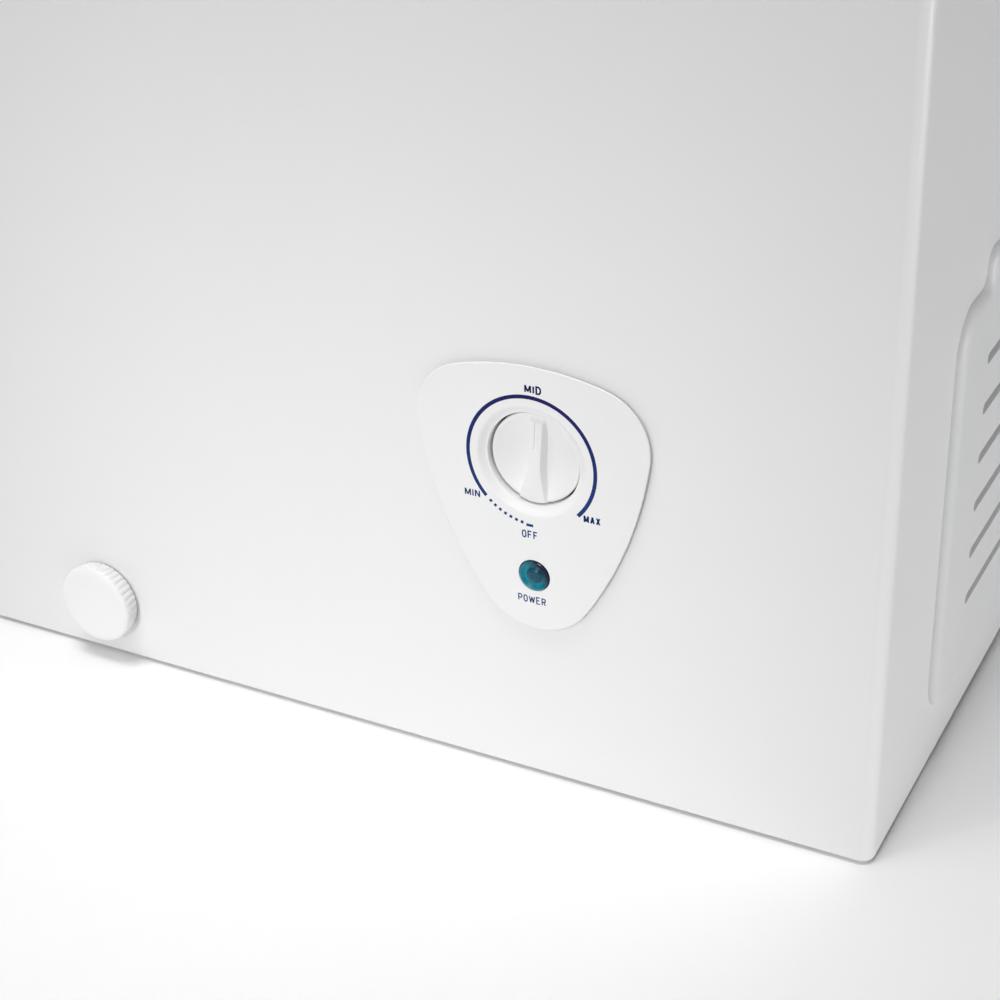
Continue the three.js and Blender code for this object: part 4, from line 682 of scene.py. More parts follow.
    def build_top_frame(self) -> None:
        """Rings of one closed section: deck, lip down into the tub, ledge for the basket."""
        box = Box("top_frame")
        top, lip_face = box.high[2], self.lip_inset
        under, ledge, ledge_face = top - 4, self.ledge_height, self.ledge_inset
        section = [(0.0, under), (0, top - 1.2), (0.35, top - 0.35), (1.2, top), (lip_face - 3, top),
                   (lip_face - 0.9, top - 0.9), (lip_face, top - 3), (lip_face, ledge + 1.5),
                   (lip_face + 0.5, ledge + 0.4), (lip_face + 1.6, ledge), (ledge_face - 1, ledge),
                   (ledge_face, ledge - 1), (ledge_face, ledge - 3), (lip_face - 3, ledge - 3),
                   (lip_face - 3, under)]
        rings = []
        for distance, z in section:
            radius = np.interp(distance, [0, lip_face - 3], [self.corner, self.tub_corner])
            rings.append(Axis.Z.place(self.plan(distance, radius, 12), z))
        show(weighted(surface("top_frame_moulding", np.stack(rings), close_u=True, close_v=True)),
             WHITE_ABS, "top_frame")

    def build_feet(self) -> None:
        """Turned rubber feet with two grooves round the side."""
        for name in ("front_left", "front_right", "rear_left", "rear_right"):
            box = Box(f"foot_{name}")
            r, top = (box.high[0] - box.low[0]) / 2, self.foot_top
            profile = [(0.0, 0.3), (r - 5, 0.3), (r - 4.4, 0.0), (r - 0.9, 0.0), (r, 0.8), (r, 1.7),
                       (r - 0.7, 2.1), (r - 0.7, 2.5), (r - 0.1, 2.9), (r - 0.3, 3.7), (r - 1, 4.1),
                       (r - 1, 4.5), (r - 0.6, 4.9), (r - 1, top), (4, top), (4, box.high[2]),
                       (0, box.high[2])]
            foot = revolved(f"rubber_foot_{name}", profile, box.middle[:2], Axis.Z, 48)
            show(foot, BLACK_RUBBER, f"foot_{name}")


# ---------------------------------------------------------------- controls


STROKES = {
    "M": [[(0, 0), (0, 1)], [(0, 1), (0.5, 0.12)], [(0.5, 0.12), (1, 1)], [(1, 1), (1, 0)]],
    "I": [[(0.5, 0), (0.5, 1)]],
    "D": [[(0, 0), (0, 1), (0.55, 1), (0.92, 0.8), (1, 0.5), (0.92, 0.2), (0.55, 0), (0, 0)]],
    "N": [[(0, 0), (0, 1)], [(0, 1), (1, 0)], [(1, 0), (1, 1)]],
    "A": [[(0, 0), (0.5, 1)], [(0.5, 1), (1, 0)], [(0.2, 0.32), (0.8, 0.32)]],
    "X": [[(0, 0), (1, 1)], [(0, 1), (1, 0)]],
    "O": [[(0.5, 0), (0.15, 0.08), (0, 0.32), (0, 0.68), (0.15, 0.92), (0.5, 1), (0.85, 0.92),
           (1, 0.68), (1, 0.32), (0.85, 0.08), (0.5, 0)]],
    "F": [[(0, 0), (0, 1), (1, 1)], [(0, 0.52), (0.8, 0.52)]],
    "P": [[(0, 0), (0, 1), (0.7, 1), (0.97, 0.88), (1, 0.72), (0.97, 0.56), (0.7, 0.44), (0, 0.44)]],
    "W": [[(0, 1), (0.24, 0)], [(0.24, 0), (0.5, 0.9)], [(0.5, 0.9), (0.76, 0)], [(0.76, 0), (1, 1)]],
    "E": [[(1, 0), (0, 0), (0, 1), (1, 1)], [(0, 0.52), (0.8, 0.52)]],
    "R": [[(0, 0), (0, 1), (0.7, 1), (0.97, 0.88), (1, 0.73), (0.97, 0.58), (0.7, 0.48), (0, 0.48)],
          [(0.5, 0.48), (1, 0)]],
}


@dataclass(frozen=True)
class Word:
    """A printed word by its lower left corner, its width and its letters' height."""

    text: str
    x: float
    z: float
    width: float
    height: float
    line: float = 0.74


@dataclass
class ControlPanel:
    """Pick-shaped fascia with its dished well, printing, knob and lens."""

    arcs: tuple[tuple[float, float], ...] = ((129, 15.8), (27, 82.5), (190, 25.5))
    top: float = 44.0
    dish: float = 25.7
    well: float = 21.8
    dish_depth: float = 2.4
    edge: float = 0.45
    shadow_gap: float = 2.6  # undercut of the edge against the skin
    dial_opening: float = 29.0  # radii of the holes in the skin
    lens_opening: float = 10.4
    grip_proud: float = 1.6  # bar before the knob's rim
    circle: float = 30.0
    line: float = 1.75
    dot: float = 1.35
    knob_radius: float = 20.9
    knob_round: float = 0.7
    knob_depth: float = 7.6
    knob_turn: float = 4.4
    letter_space: float = 0.24  # of a letter's width
    letter_widths: tuple[tuple[str, float], ...] = (("I", 0.25), ("M", 1.2), ("W", 1.45))
    scale_start: float = -132.8  # bearings from the top, in degrees
    scale_end: float = 133.9
    dots: int = 7
    first_dot: float = -138.4
    dot_pitch: float = 5.333
    words: tuple[Word, ...] = (
        Word("MID", -2.0, 31.9, 7.9, 3.9, 0.8), Word("MIN", -32.6, -22.3, 7.5, 3.7, 0.66),
        Word("MAX", 24.3, -23.3, 7.8, 3.8, 0.78), Word("OFF", -5.3, -37.0, 7.7, 3.9, 0.6),
        Word("POWER", -8.2, -69.3, 13.6, 3.7, 0.56))
    fascia: Box = box_of("control_fascia")
    knob: Box = box_of("thermostat_knob")
    lens: Box = box_of("indicator_lens")

    def __post_init__(self) -> None:
        """Takes the axes and the face from the frame."""
        shaft = Box("thermostat_shaft").middle
        self.axis = (shaft[0], shaft[2])
        self.lens_axis = (self.lens.middle[0], self.lens.middle[2])
        self.face = self.fascia.low[1]
        self.cup_end = self.fascia.high[1]
        self.back = Box("outer_wrapper").low[1] - 0.3

    def outline(self, steps: int = 22) -> np.ndarray:
        """Tangent arcs from the top middle round to the bottom middle, then mirrored.

        Args: steps: in each arc. Returns: an anticlockwise outline round the dial axis.
        """
        points, heading, at = [], 0.0, np.array([0.0, self.top])

        def sweep(radius: float, angle: float) -> None:
            """Adds one arc. Args: radius, angle in radians."""
            nonlocal heading, at
            centre = at - radius * np.array([sin(heading), cos(heading)])
            for k in range(steps):
                here = heading + angle * k / steps
                points.append(centre + radius * np.array([sin(here), cos(here)]))
            heading += angle
            at = centre + radius * np.array([sin(heading), cos(heading)])

        for radius, angle in self.arcs:
            sweep(radius, radians(angle))
        sweep(at[0] / sin(heading), pi - heading)
        right = np.array(points)
        left = right[1:][::-1] * (-1, 1)
        return np.concatenate([right, [at], left])[::-1]

    def on_axis(self, flat: np.ndarray, depth: float) -> np.ndarray:
        """Args: flat: (n, 2) from the dial axis. depth: y. Returns: (n, 3) points."""
        return Axis.Y.place(flat + np.array(self.axis), depth)

    def build_fascia(self) -> None:
        """Rings that pass from the well's circle to the outline, then round the edge and back.

        The dish is half a cosine wave to the power 0.85, from the well's rim up to the face.
        """
        outline = self.outline()
        bearing = np.arctan2(outline[:, 1], outline[:, 0])
        unit = np.stack([np.cos(bearing), np.sin(bearing)], 1)
        face, back, end = self.face, self.back, self.cup_end
        rows = [(unit * self.well, end), (unit * self.well, face + self.dish_depth + 0.4)]
        for t in np.linspace(0, 1, 12):
            radius = self.well + 0.15 + (self.dish - self.well) * t
            rows.append((unit * radius, face + self.dish_depth * (0.5 + 0.5 * cos(pi * t)) ** 0.85))
        rim = unit * (self.dish + 1.0)
        flat = inset(outline, self.edge)
        rows += [(rim * (1 - t) + flat * t, face) for t in (0.0, 0.05, 0.5, 0.95, 1.0)]
        for t in np.linspace(12, 90, 7):
            rows.append((inset(outline, self.edge * (1 - sin(radians(t)))),
                         face + self.edge * (1 - cos(radians(t)))))
        gap = inset(outline, self.shadow_gap)
        rows += [(outline, face + self.edge + 0.1), (gap, face + self.edge + 0.2), (gap, back)]
        cup = self.dish + 2.3
        rows += [(unit * cup, back), (unit * cup, end)]
        grid = np.stack([self.on_axis(flat_row, depth) for flat_row, depth in rows])
        panel = surface("control_panel_fascia", grid, close_u=True, close_v=True)
        boss = slab("lens_boss", arc(self.lens_axis, 9.4, 0, 354, 59), Axis.Y, back - 0.6, end)
        combine(panel, [boss], "UNION")
        bore = revolved("lens_bore", [(0.0, face - 1), (8.6, face - 1), (7.95, face - 0.02),
                                      (7.65, face + 0.12), (7.5, face + 0.45),
                                      (7.5, end + 1), (0, end + 1)],
                        self.lens_axis, Axis.Y, 72)
        combine(panel, [bore])
        show(weighted(panel), FASCIA, "control_fascia")

    def ribbon(self, path: np.ndarray, width: float) -> bpy.types.Object:
        """A line of ink of even width on the face. Args: path from the dial axis, width.
        Returns: a thin closed strip."""
        path = np.asarray(path, float)
        closed = bool(np.allclose(path[0], path[-1]))
        if closed:
            path = path[:-1]
        ahead = np.roll(path, -1, axis=0) - path
        behind = path - np.roll(path, 1, axis=0)
        if not closed:
            ahead[-1], behind[0] = behind[-1], ahead[0]
        ahead /= np.linalg.norm(ahead, axis=1, keepdims=True)
        behind /= np.linalg.norm(behind, axis=1, keepdims=True)
        normal = ahead + behind
        normal = np.stack([-normal[:, 1], normal[:, 0]], 1)
        normal /= np.maximum(np.linalg.norm(normal, axis=1, keepdims=True), 1e-6)
        across = np.stack([-ahead[:, 1], ahead[:, 0]], 1)
        reach = width / 2 / np.maximum((normal * across).sum(1, keepdims=True), 0.45)
        one, two = path + normal * reach, path - normal * reach
        front, back = self.face - 0.03, self.face + 0.05
        grid = np.stack([self.on_axis(one, front), self.on_axis(two, front),
                         self.on_axis(two, back), self.on_axis(one, back)], axis=1)
        return surface("ink", grid, close_u=closed, close_v=True,
                       cap_first=not closed, cap_last=not closed)

    def letters(self, word: Word) -> list[bpy.types.Object]:
        """Args: word. Returns: a strip for each stroke, in letters of even width and space."""
        widths = dict(self.letter_widths)
        weights = [widths.get(letter, 1.0) for letter in word.text]
        unit = word.width / (sum(weights) + self.letter_space * (len(weights) - 1))
        strips, x = [], word.x
        for letter, weight in zip(word.text, weights):
            wide = unit * weight
            for stroke in STROKES[letter]:
                path = [(x + (wide - word.line) * u + word.line / 2,
                         word.z + word.line / 2 + (word.height - word.line) * v) for u, v in stroke]
                strips.append(self.ribbon(np.array(path), word.line))
            x += wide + unit * self.letter_space
        return strips

    def build_printing(self) -> None:
        """Scale line from MIN round to MAX, seven dots, the OFF mark and the words."""
        angles = np.linspace(self.scale_start, self.scale_end, 161)
        path = self.circle * np.stack([np.sin(np.radians(angles)), np.cos(np.radians(angles))], 1)
        strips = [self.ribbon(path, self.line)]
        for k in range(self.dots):
            bearing = np.radians(self.first_dot - self.dot_pitch * k + np.array([-1.25, 0, 1.25]))
            path = self.circle * np.stack([np.sin(bearing), np.cos(bearing)], 1)
            strips.append(self.ribbon(path, self.dot))
        strips.append(self.ribbon(np.array([(-3.0, -30.4), (-1.4, -30.45), (0.3, -30.4)]), 1.3))
        for word in self.words:
            strips += self.letters(word)
        ink = joined("dial_printing", strips)
        ink.data.materials.append(INK.material())
        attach(ink, "cabinet")

    def knob_height(self, x: np.ndarray, z: np.ndarray) -> np.ndarray:
        """Relief of the knob's front before its rim.

        A bowl 3.2 mm deep falls away from a rim 1.3 mm wide. A bar stands 1.6 mm in front of
        the rim, with steep sides, a foot that flares by a power of the drop, and a fine groove.

        Args: x, z: in the knob's own axes. Returns: millimetres in front of the rim.
        """
        reach = np.hypot(x, z)
        bowl = -3.2 * (1 - np.clip(reach / 19.5, 0, 1) ** 2.7)
        half = 3.1 + 3.2 * np.clip((-2 - z) / 18, 0, 1.1) ** 1.6
        side = smoothstep(np.abs(x) - half, -0.35, 0.95)
        crown = 1.6 - 0.35 * (x / np.maximum(half, 1)) ** 2 * (side < 0.5)
        crown = crown * (1 - 0.9 * smoothstep(z, 17.0, 19.6)) - 0.3 * smoothstep(-z, 18.0, 20.2)
        height = crown * (1 - side) + bowl * side
        groove = (1 - smoothstep(np.abs(x + 0.05), 0.25, 0.6))
        groove = groove * smoothstep(z, 3.9, 4.6) * (1 - smoothstep(z, 16.6, 17.5))
        return height - 0.55 * groove

    def build_knob(self, cells: int = 236) -> None:
        """A square grid drawn onto a disc, x = u sqrt(1 - v2/2), raised by its relief, then the
        rolled rim, the side, the back and the hub with its bore.

        Args: cells: along each side of the grid.
        """
        radius, flat = self.knob_radius, self.knob_radius - self.knob_round
        rim = self.knob.low[1] + self.grip_proud
        back = rim + self.knob_depth
        line = np.linspace(-1, 1, cells + 1)
        u, v = np.meshgrid(line, line)
        x = u * np.sqrt(1 - v * v / 2) * flat
        z = v * np.sqrt(1 - u * u / 2) * flat
        turn = radians(self.knob_turn)
        height = self.knob_height(x, z)
        world_x = x * cos(turn) + z * sin(turn) + self.axis[0]
        world_z = -x * sin(turn) + z * cos(turn) + self.axis[1]
        front = np.stack([world_x, rim - height, world_z], -1)
        grid = surface("knob_front", front)
        edge = np.concatenate([front[0, :-1], front[:-1, -1], front[-1, :0:-1], front[:0:-1, 0]])
        centre = np.array([self.axis[0], 0, self.axis[1]])
        away = (edge - centre) * (1, 0, 1)
        away /= np.linalg.norm(away, axis=1, keepdims=True)
        lift = edge[:, 1]
        rows = [edge]
        for t in (18, 36, 54, 72, 90):
            row = centre + away * (flat + self.knob_round * sin(radians(t)))
            row[:, 1] = lift + self.knob_round * (1 - cos(radians(t)))
            rows.append(row)
        for reach, depth in ((radius, back - 0.3), (radius - 0.3, back), (7.0, back),
                             (7.0, back + 2.7), (6.7, back + 3), (3.3, back + 3), (3.3, back - 3.6)):
            row = centre + away * reach
            row[:, 1] = depth
            rows.append(row)
        shell = surface("knob_side", np.stack(rows), close_v=True, cap_last=True)
        show(joined("thermostat_knob_moulding", [grid, shell]), FASCIA, "thermostat_knob")

    def build_lens(self) -> None:
        """A turned lens: raised boss, concave ring, thin outer rim and a straight skirt."""
        face, r = self.face, 7.1
        profile = [(0.0, face - 0.55), (1.6, face - 0.5), (2.7, face - 0.3), (3.3, face + 0.15),
                   (3.8, face + 0.7), (4.6, face + 0.95), (5.4, face + 0.75), (6.0, face + 0.25),
                   (6.4, face - 0.2), (6.7, face - 0.3), (7.0, face - 0.15), (r, face + 0.2),
                   (r, self.lens.high[1] - 0.2), (r - 0.2, self.lens.high[1]), (0, self.lens.high[1])]
        finish = LampLens("teal_lens", "tinted_polycarbonate", "0A4A5E", "0E8096", 10, (0.22, 0.3),
                          0.6, 0.002, coat=0.12, specular=0.25,
                          centre=(self.lens_axis[0], face, self.lens_axis[1]))
        show(revolved("pilot_lens", profile, self.lens_axis, Axis.Y, 72), finish, "indicator_lens")

    def build(self) -> None:
        """Builds the panel's pieces."""
        self.build_fascia()
        self.build_printing()
        self.build_knob()
        self.build_lens()


# ---------------------------------------------------------------- drain


@dataclass
class Drain:
    """Screw cap with ribs for the fingers over the drain spout."""

    ribs: int = 40
    rib_height: float = 0.6
    taper: float = 1.4  # smaller at the skirt's foot
    opening: float = 14.6  # radius of the hole in the skin
    bore: float = 14.6  # radius inside the cap
    plug_shank: float = 8.4
    tab_half: float = 6.0
    cap: Box = box_of("drain_cap")

    def __post_init__(self) -> None:
        """Takes the axis from the frame."""
        self.axis = (self.cap.middle[0], self.cap.middle[2])
        self.radius = (self.cap.high[0] - self.cap.low[0]) / 2

    def build_cap(self) -> None:
        """Turned cap with a dished face; its ribs follow the size of a sine wave to the power 0.7,
        at full height along the skirt and fading out towards the chamfer."""
        low, high = self.cap.low[1], self.cap.high[1]
        r = self.radius
        profile = [(0.0, low + 0.75), (6, low + 0.7), (12, low + 0.5), (15.6, low + 0.2),
                   (16.6, low + 0.04), (17.4, low), (r - 2.2, low), (r - 1.5, low + 0.18),
                   (r - 0.9, low + 0.55), (r - 0.45, low + 1.1), (r - 0.2, low + 1.9),
                   (r - 0.2, low + 3), (r - 0.5 * self.taper, low + 5.5),
                   (r - 0.8 * self.taper, low + 7.5), (r - self.taper, high - 0.5),
                   (r - self.taper - 0.3, high), (self.bore + 0.1, high), (self.bore, high - 0.4),
                   (self.bore, low + 2.2), (self.bore - 0.4, low + 2), (0, low + 2)]
        last = len(profile) - 1

        def ripple(angles: np.ndarray, place: float) -> np.ndarray:
            """Args: angles, place: share of the profile. Returns: the radius added."""
            row = round(place * last)
            strength = {9: 0.25, 10: 0.7, 11: 1, 12: 1, 13: 1, 14: 1, 15: 0.6}.get(row, 0)
            wave = np.abs(np.sin(angles * self.ribs / 2)) ** 0.7
            return -self.rib_height * strength * (1 - wave)

        cap = revolved("drain_screw_cap", profile, self.axis, Axis.Y, self.ribs * 10, ripple)
        show(cap, CAP, "drain_cap")

    def build_plug(self) -> None:
        """Rubber plug in the tub's floor with a pinched pull tab."""
        box = Box("drain_plug")
        seat = Box("inner_liner").low[2] + Cabinet.tub_sheet + 0.3
        r, shank, half = (box.high[0] - box.low[0]) / 2, self.plug_shank, self.tab_half
        profile = [(0.0, box.low[2]), (shank - 1.2, box.low[2]), (shank, box.low[2] + 1.4), (shank, seat),
                   (r - 0.8, seat), (r, seat + 0.8), (r - 0.3, seat + 1.9), (r - 2.2, seat + 2.8),
                   (9, seat + 3), (7.5, seat + 2.4), (0, seat + 2.4)]
        plug = revolved("drain_plug_moulding", profile, box.middle[:2], Axis.Z, 64)
        tab = rounded([(-half, seat + 1, 0), (half, seat + 1, 0), (half, box.high[2], 4),
                       (-half, box.high[2], 4)], 8)
        tab = tab + np.array([box.middle[0], 0])
        handle = slab("tab", tab, Axis.Y, box.middle[1] - 1.5, box.middle[1] + 1.5)
        show(combine(plug, [handle], "UNION"), BLACK_RUBBER, "drain_plug")

    def build(self) -> None:
        """Builds the drain's pieces."""
        self.build_cap()
        self.build_plug()


# ---------------------------------------------------------------- side vent


@dataclass
class SideVent:
    """Louvred cover over the opening in the right side, with two screw ears."""

    corner: float = 20.0
    ear_half: float = 22.0
    ear_corner: float = 14.0
    edge_width: float = 6.0
    slots: int = 6
    pitch: float = 23.7
    lowest: float = 75.0  # middle of the lowest slot above the floor
    slot_height: float = 5.2
    slot_fall: float = 6.0  # from the back of the cover to its face
    slot_inset: float = 38.0
    opening_inset: float = 16.0
    cover: Box = box_of("side_vent_cover")

    def __post_init__(self) -> None:
        """Takes the ears' places from the screws."""
        self.screws = [Box(f"vent_screw_{end}").middle for end in ("front", "rear")]
        self.top = self.screws[0][2]

    def outline(self) -> np.ndarray:
        """Returns: the cover's outline in (y, z), anticlockwise, with filleted ears."""
        low, high = self.cover.low, self.cover.high
        corners = [(low[1], low[2], self.corner), (high[1], low[2], self.corner),
                   (high[1], self.top, self.corner)]
        for screw in reversed(self.screws):
            right, left = screw[1] + self.ear_half, screw[1] - self.ear_half
            corners += [(right, self.top, 6), (right, high[2], self.ear_corner * 0.6),
                        (left, high[2], self.ear_corner * 0.6), (left, self.top, 6)]
        corners.append((low[1], self.top, self.corner))
        return rounded(corners, 10)

    def opening(self) -> bpy.types.Object:
        """Returns: the cutter for the opening in the skin."""
        low, high, d = self.cover.low, self.cover.high, self.opening_inset
        outline = rectangle(low[1] + d, high[1] - d, low[2] + d, self.top - d, 4)
        right = self.cover.low[0]
        return slab("vent_opening", outline, Axis.X, right - 4, right + 2)

    def build_cover(self) -> None:
        """Rings of a quarter ellipse from the base to the flat face, then slots that slope down
        as they come out, and a sunk seat for each screw."""
        outline = self.outline()
        base, face = self.cover.low[0] - 0.3, self.cover.high[0]
        rows = [(outline, base)]
        for t in np.linspace(6, 90, 11):  # degrees round the ellipse
            rows.append((inset(outline, self.edge_width * (1 - cos(radians(t)))),
                         base + (face - base) * sin(radians(t))))
        grid = np.stack([Axis.X.place(flat, depth) for flat, depth in rows])
        cover = surface("side_vent_cover_moulding", grid, close_v=True, cap_first=True, cap_last=True)
        first, last = self.cover.low[1] + self.slot_inset, self.cover.high[1] - self.slot_inset
        tools = []
        for k in range(self.slots):
            z, half = self.lowest + k * self.pitch + self.slot_fall / 2, self.slot_height / 2
            slot = rectangle(first, last, z - half, z + half, half * 0.96, 8)
            tools.append(slab("slot", slot, Axis.X, base - 2, face + 2, (0, -self.slot_fall)))
        for screw in self.screws:
            seat = arc((screw[1], screw[2]), 4.9, 0, 350, 35)
            tools.append(slab("seat", seat, Axis.X, face - 2.2, face + 1))
            hole = arc((screw[1], screw[2]), 2.4, 0, 350, 23)
            tools.append(slab("hole", hole, Axis.X, base - 1, face + 1))
        show(weighted(combine(cover, tools)), WHITE_ABS, "side_vent_cover")

    def build(self) -> None:
        """Builds the cover and its screws."""
        self.build_cover()
        for end in ("front", "rear"):
            build_screw(f"vent_screw_{end}", Axis.X, 1)


def build_screw(node: str, axis: Axis, out: int) -> None:
    """A pan-head screw with a cross recess. Args: node, axis along it, out: sign of its head."""
    box = Box(node)
    k = axis.value
    tip, face = (box.low[k], box.high[k]) if out > 0 else (box.high[k], box.low[k])
    centre = np.delete(box.middle, k)
    step = -out
    profile = [(0.0, face), (1.8, face + 0.05 * step), (3.1, face + 0.35 * step),
               (3.9, face + 0.95 * step), (4.2, face + 1.5 * step), (4.1, face + 1.8 * step),
               (2, face + 1.8 * step), (2, tip - 2 * step), (0, tip)]
    screw = revolved(f"{node}_panhead", profile, centre, axis, 40)
    tools = []
    for size in ((2.2, 0.45), (0.45, 2.2)):
        shape = rectangle(centre[0] - size[0], centre[0] + size[0], centre[1] - size[1],
                          centre[1] + size[1], 0.15, 2)
        tools.append(slab("recess", shape, axis, face + 1.1 * step, face - step))
    show(combine(screw, tools), ZINC, node)


# ---------------------------------------------------------------- lid


@dataclass
class Lid:
    """Painted shell, formed liner, bellows gasket and handle."""

    corner: float = 12.0
    edge: float = 8.0
    sheet: float = 1.0
    plug_inset: float = 80.5
    handle_end: float = 7.0
    shell: Box = box_of("lid_outer")
    handle: Box = box_of("lid_handle")

    def plan(self, distance: float, radius: float, steps: int = 12) -> np.ndarray:
        """Args: distance in from the lid's faces, corner radius. Returns: the outline."""
        low, high = self.shell.low, self.shell.high
        return rectangle(low[0] + distance, high[0] - distance, low[1] + distance,
                         high[1] - distance, max(radius, 0.4), steps)

    def build_shell(self) -> None:
        """Rings of the outer face, up round the top edge, then the inner face back down."""
        bottom, top, t = self.shell.low[2], self.shell.high[2], self.sheet
        bend = [(self.edge * (1 - cos(radians(a))), top - self.edge * (1 - sin(radians(a))))
                for a in np.linspace(0, 90, 11)]
        outer = [(0.0, bottom), *bend, (60, top)]
        rows = [(d, z, max(self.corner - d, 3)) for d, z in outer]
        outside = np.stack([Axis.Z.place(self.plan(d, r), z) for d, z, r in rows])
        inside = [(t, bottom, self.corner - t), (t, top - self.edge, self.corner - t),
                  (self.edge, top - t, 4.0)]
        hollow = np.stack([Axis.Z.place(self.plan(d, r), z) for d, z, r in inside])
        parts = [surface("outside", outside, close_v=True, cap_last=True),
                 surface("inside", hollow, close_v=True, cap_last=True),
                 surface("edge", np.stack([outside[0], hollow[0]]), close_v=True)]
        show(weighted(joined("lid_shell", parts)), WHITE_ENAMEL, "lid_outer")

    def build_liner(self) -> None:
        """Formed sheet: a flange round the edge and a raised middle with eased corners."""
        box = Box("lid_liner")
        low, under, t = box.low[2], self.shell.low[2], 2.0
        p = self.plug_inset + 4.0
        below = [(1.3, under + t, 10.7), (1.3, under, 10.7), (p - 3, under, 30), (p - 1, under - 0.5, 29),
                 (p, under - 2.5, 28), (p + 0.6, low + 4, 26), (p + 1.8, low + 1.2, 25),
                 (p + 4.5, low, 23), (p + 60, low, 10)]
        above = [(1.3, under + t, 10.7), (p, under + t, 28), (p + 2.6, under, 27),
                 (p + 3.4, low + 4, 24), (p + 6, low + t, 21), (p + 60, low + t, 10)]
        sides = []
        for name, rows in (("below", below), ("above", above)):
            grid = np.stack([Axis.Z.place(self.plan(d, r), z) for d, z, r in rows])
            sides.append(surface(name, grid, close_v=True, cap_last=True))
        show(weighted(joined("lid_inner_sheet", sides)), WHITE_ABS, "lid_liner")

    def build_gasket(self) -> None:
        """Bellows section carried round the opening's edge."""
        box = Box("lid_gasket")
        low, high = box.low[2], box.high[2]
        start = box.low[0] - self.shell.low[0]
        section = [(0.2, high - 0.3), (0.5, high), (15.5, high), (16, high - 0.4), (15.2, high - 1.2),
                   (12.6, high - 1.7), (12.9, high - 2.3), (15.4, high - 2.8), (15.9, high - 3.6),
                   (15.2, high - 4.6), (13.6, low), (2.6, low), (0.9, high - 4.6), (0.1, high - 3.6),
                   (0.7, high - 2.8), (3.2, high - 2.3), (3.4, high - 1.7), (0.8, high - 1.1)]
        grid = np.stack([Axis.Z.place(self.plan(start + d, 10.0), z) for d, z in section])
        show(surface("lid_bellows_gasket", grid, close_u=True, close_v=True), VINYL, "lid_gasket")

    def build_handle(self) -> None:
        """A rounded section carried along the front, drawn in on a quarter circle at each end."""
        low, high = self.handle.low, self.handle.high
        view = rounded([(low[1], low[2], 4), (high[1], low[2], 1), (high[1], high[2], 1.5),
                        (low[1], high[2], 13)], 10)
        rows = []
        for degrees in [*range(0, 91, 10), *range(90, -1, -10)]:
            run = self.handle_end * (1 - cos(radians(degrees)))
            shape = inset(view, 0.75 * self.handle_end * (1 - sin(radians(degrees))))
            at_start = len(rows) < 10
            rows.append(Axis.X.place(shape, low[0] + run if at_start else high[0] - run))
        handle = surface("lid_pull_handle", np.stack(rows), close_v=True, cap_first=True, cap_last=True)
        pocket = rounded([(low[1] + 4, low[2] - 3, 0), (high[1] - 4, low[2] - 3, 0),
                          (high[1] - 4, high[2] - 8, 5), (low[1] + 4, high[2] - 8, 9)], 6)
        combine(handle, [slab("pocket", pocket, Axis.X, low[0] + 4, high[0] - 4)])
        show(weighted(handle), WHITE_ABS, "lid_handle")

    def build(self) -> None:
        """Builds the lid's pieces."""
        self.build_shell()
        self.build_liner()
        self.build_gasket()
        self.build_handle()


# ---------------------------------------------------------------- basket


@dataclass
class WireBasket:
    """Dipped wire basket: a heavy rim with hooks, hoops both ways and two waist wires."""

    rim: float = 2.6
    bar: float = 1.6
    corner: float = 30.0
    bend: float = 14.0
    across: int = 11
    along: int = 14
    hook: float = 11.0
    waists: tuple[float, ...] = (62.0, 124.0)  # below the rim
    box: Box = box_of("basket")

    def hoop(self, start: np.ndarray, end: np.ndarray, low: float) -> bpy.types.Object:
        """A wire down one wall, across the floor and up the other.

        Args: start, end: on the rim. low: floor. Returns: the wire.
        """
        span = end - start
        length = float(np.hypot(span[0], span[1]))
        flat = rounded([(0, start[2], 0), (0, low, self.bend), (length, low, self.bend),
                        (length, end[2], 0)], 6)
        unit = span / length
        path = np.array([start + unit * d for d, _ in flat])
        path[:, 2] = flat[:, 1]
        return wire("hoop", path, self.bar)

    def build(self) -> None:
        """Builds the basket as one welded piece."""
        low, high = self.box.low, self.box.high
        x0, x1 = low[0] + self.rim, high[0] - self.rim
        y0, y1 = low[1] + self.hook + self.rim, high[1] - self.hook - self.rim
        top, floor = high[2] - self.rim, low[2] + self.bar
        parts = []
        rings = [(top, self.rim, 0), *((top - drop, self.bar, 0.8) for drop in self.waists)]
        for z, radius, grow in rings:
            outline = rectangle(x0 + grow, x1 - grow, y0 + grow, y1 - grow, self.corner, 8)
            parts.append(wire("ring", Axis.Z.place(outline, z), radius, closed=True))
        c = self.corner
        for x in np.linspace(x0 + c, x1 - c, self.across):
            parts.append(self.hoop(np.array([x, y0 + 2, top]), np.array([x, y1 - 2, top]), floor))
        for y in np.linspace(y0 + c, y1 - c, self.along):
            parts.append(self.hoop(np.array([x0 + 2, y, top]), np.array([x1 - 2, y, top]), floor + 3))
        for y, out in ((y0, -1), (y1, 1)):
            reach = y + out * self.hook
            path = rounded([(x0 + c, y, 0), (x0 + c, reach, 7), (x1 - c, reach, 7), (x1 - c, y, 0)], 6)
            parts.append(wire("hook", Axis.Z.place(path, top), self.rim))
        show(joined("wire_basket", parts), DIPPED, "basket")


# ---------------------------------------------------------------- machine bay and back


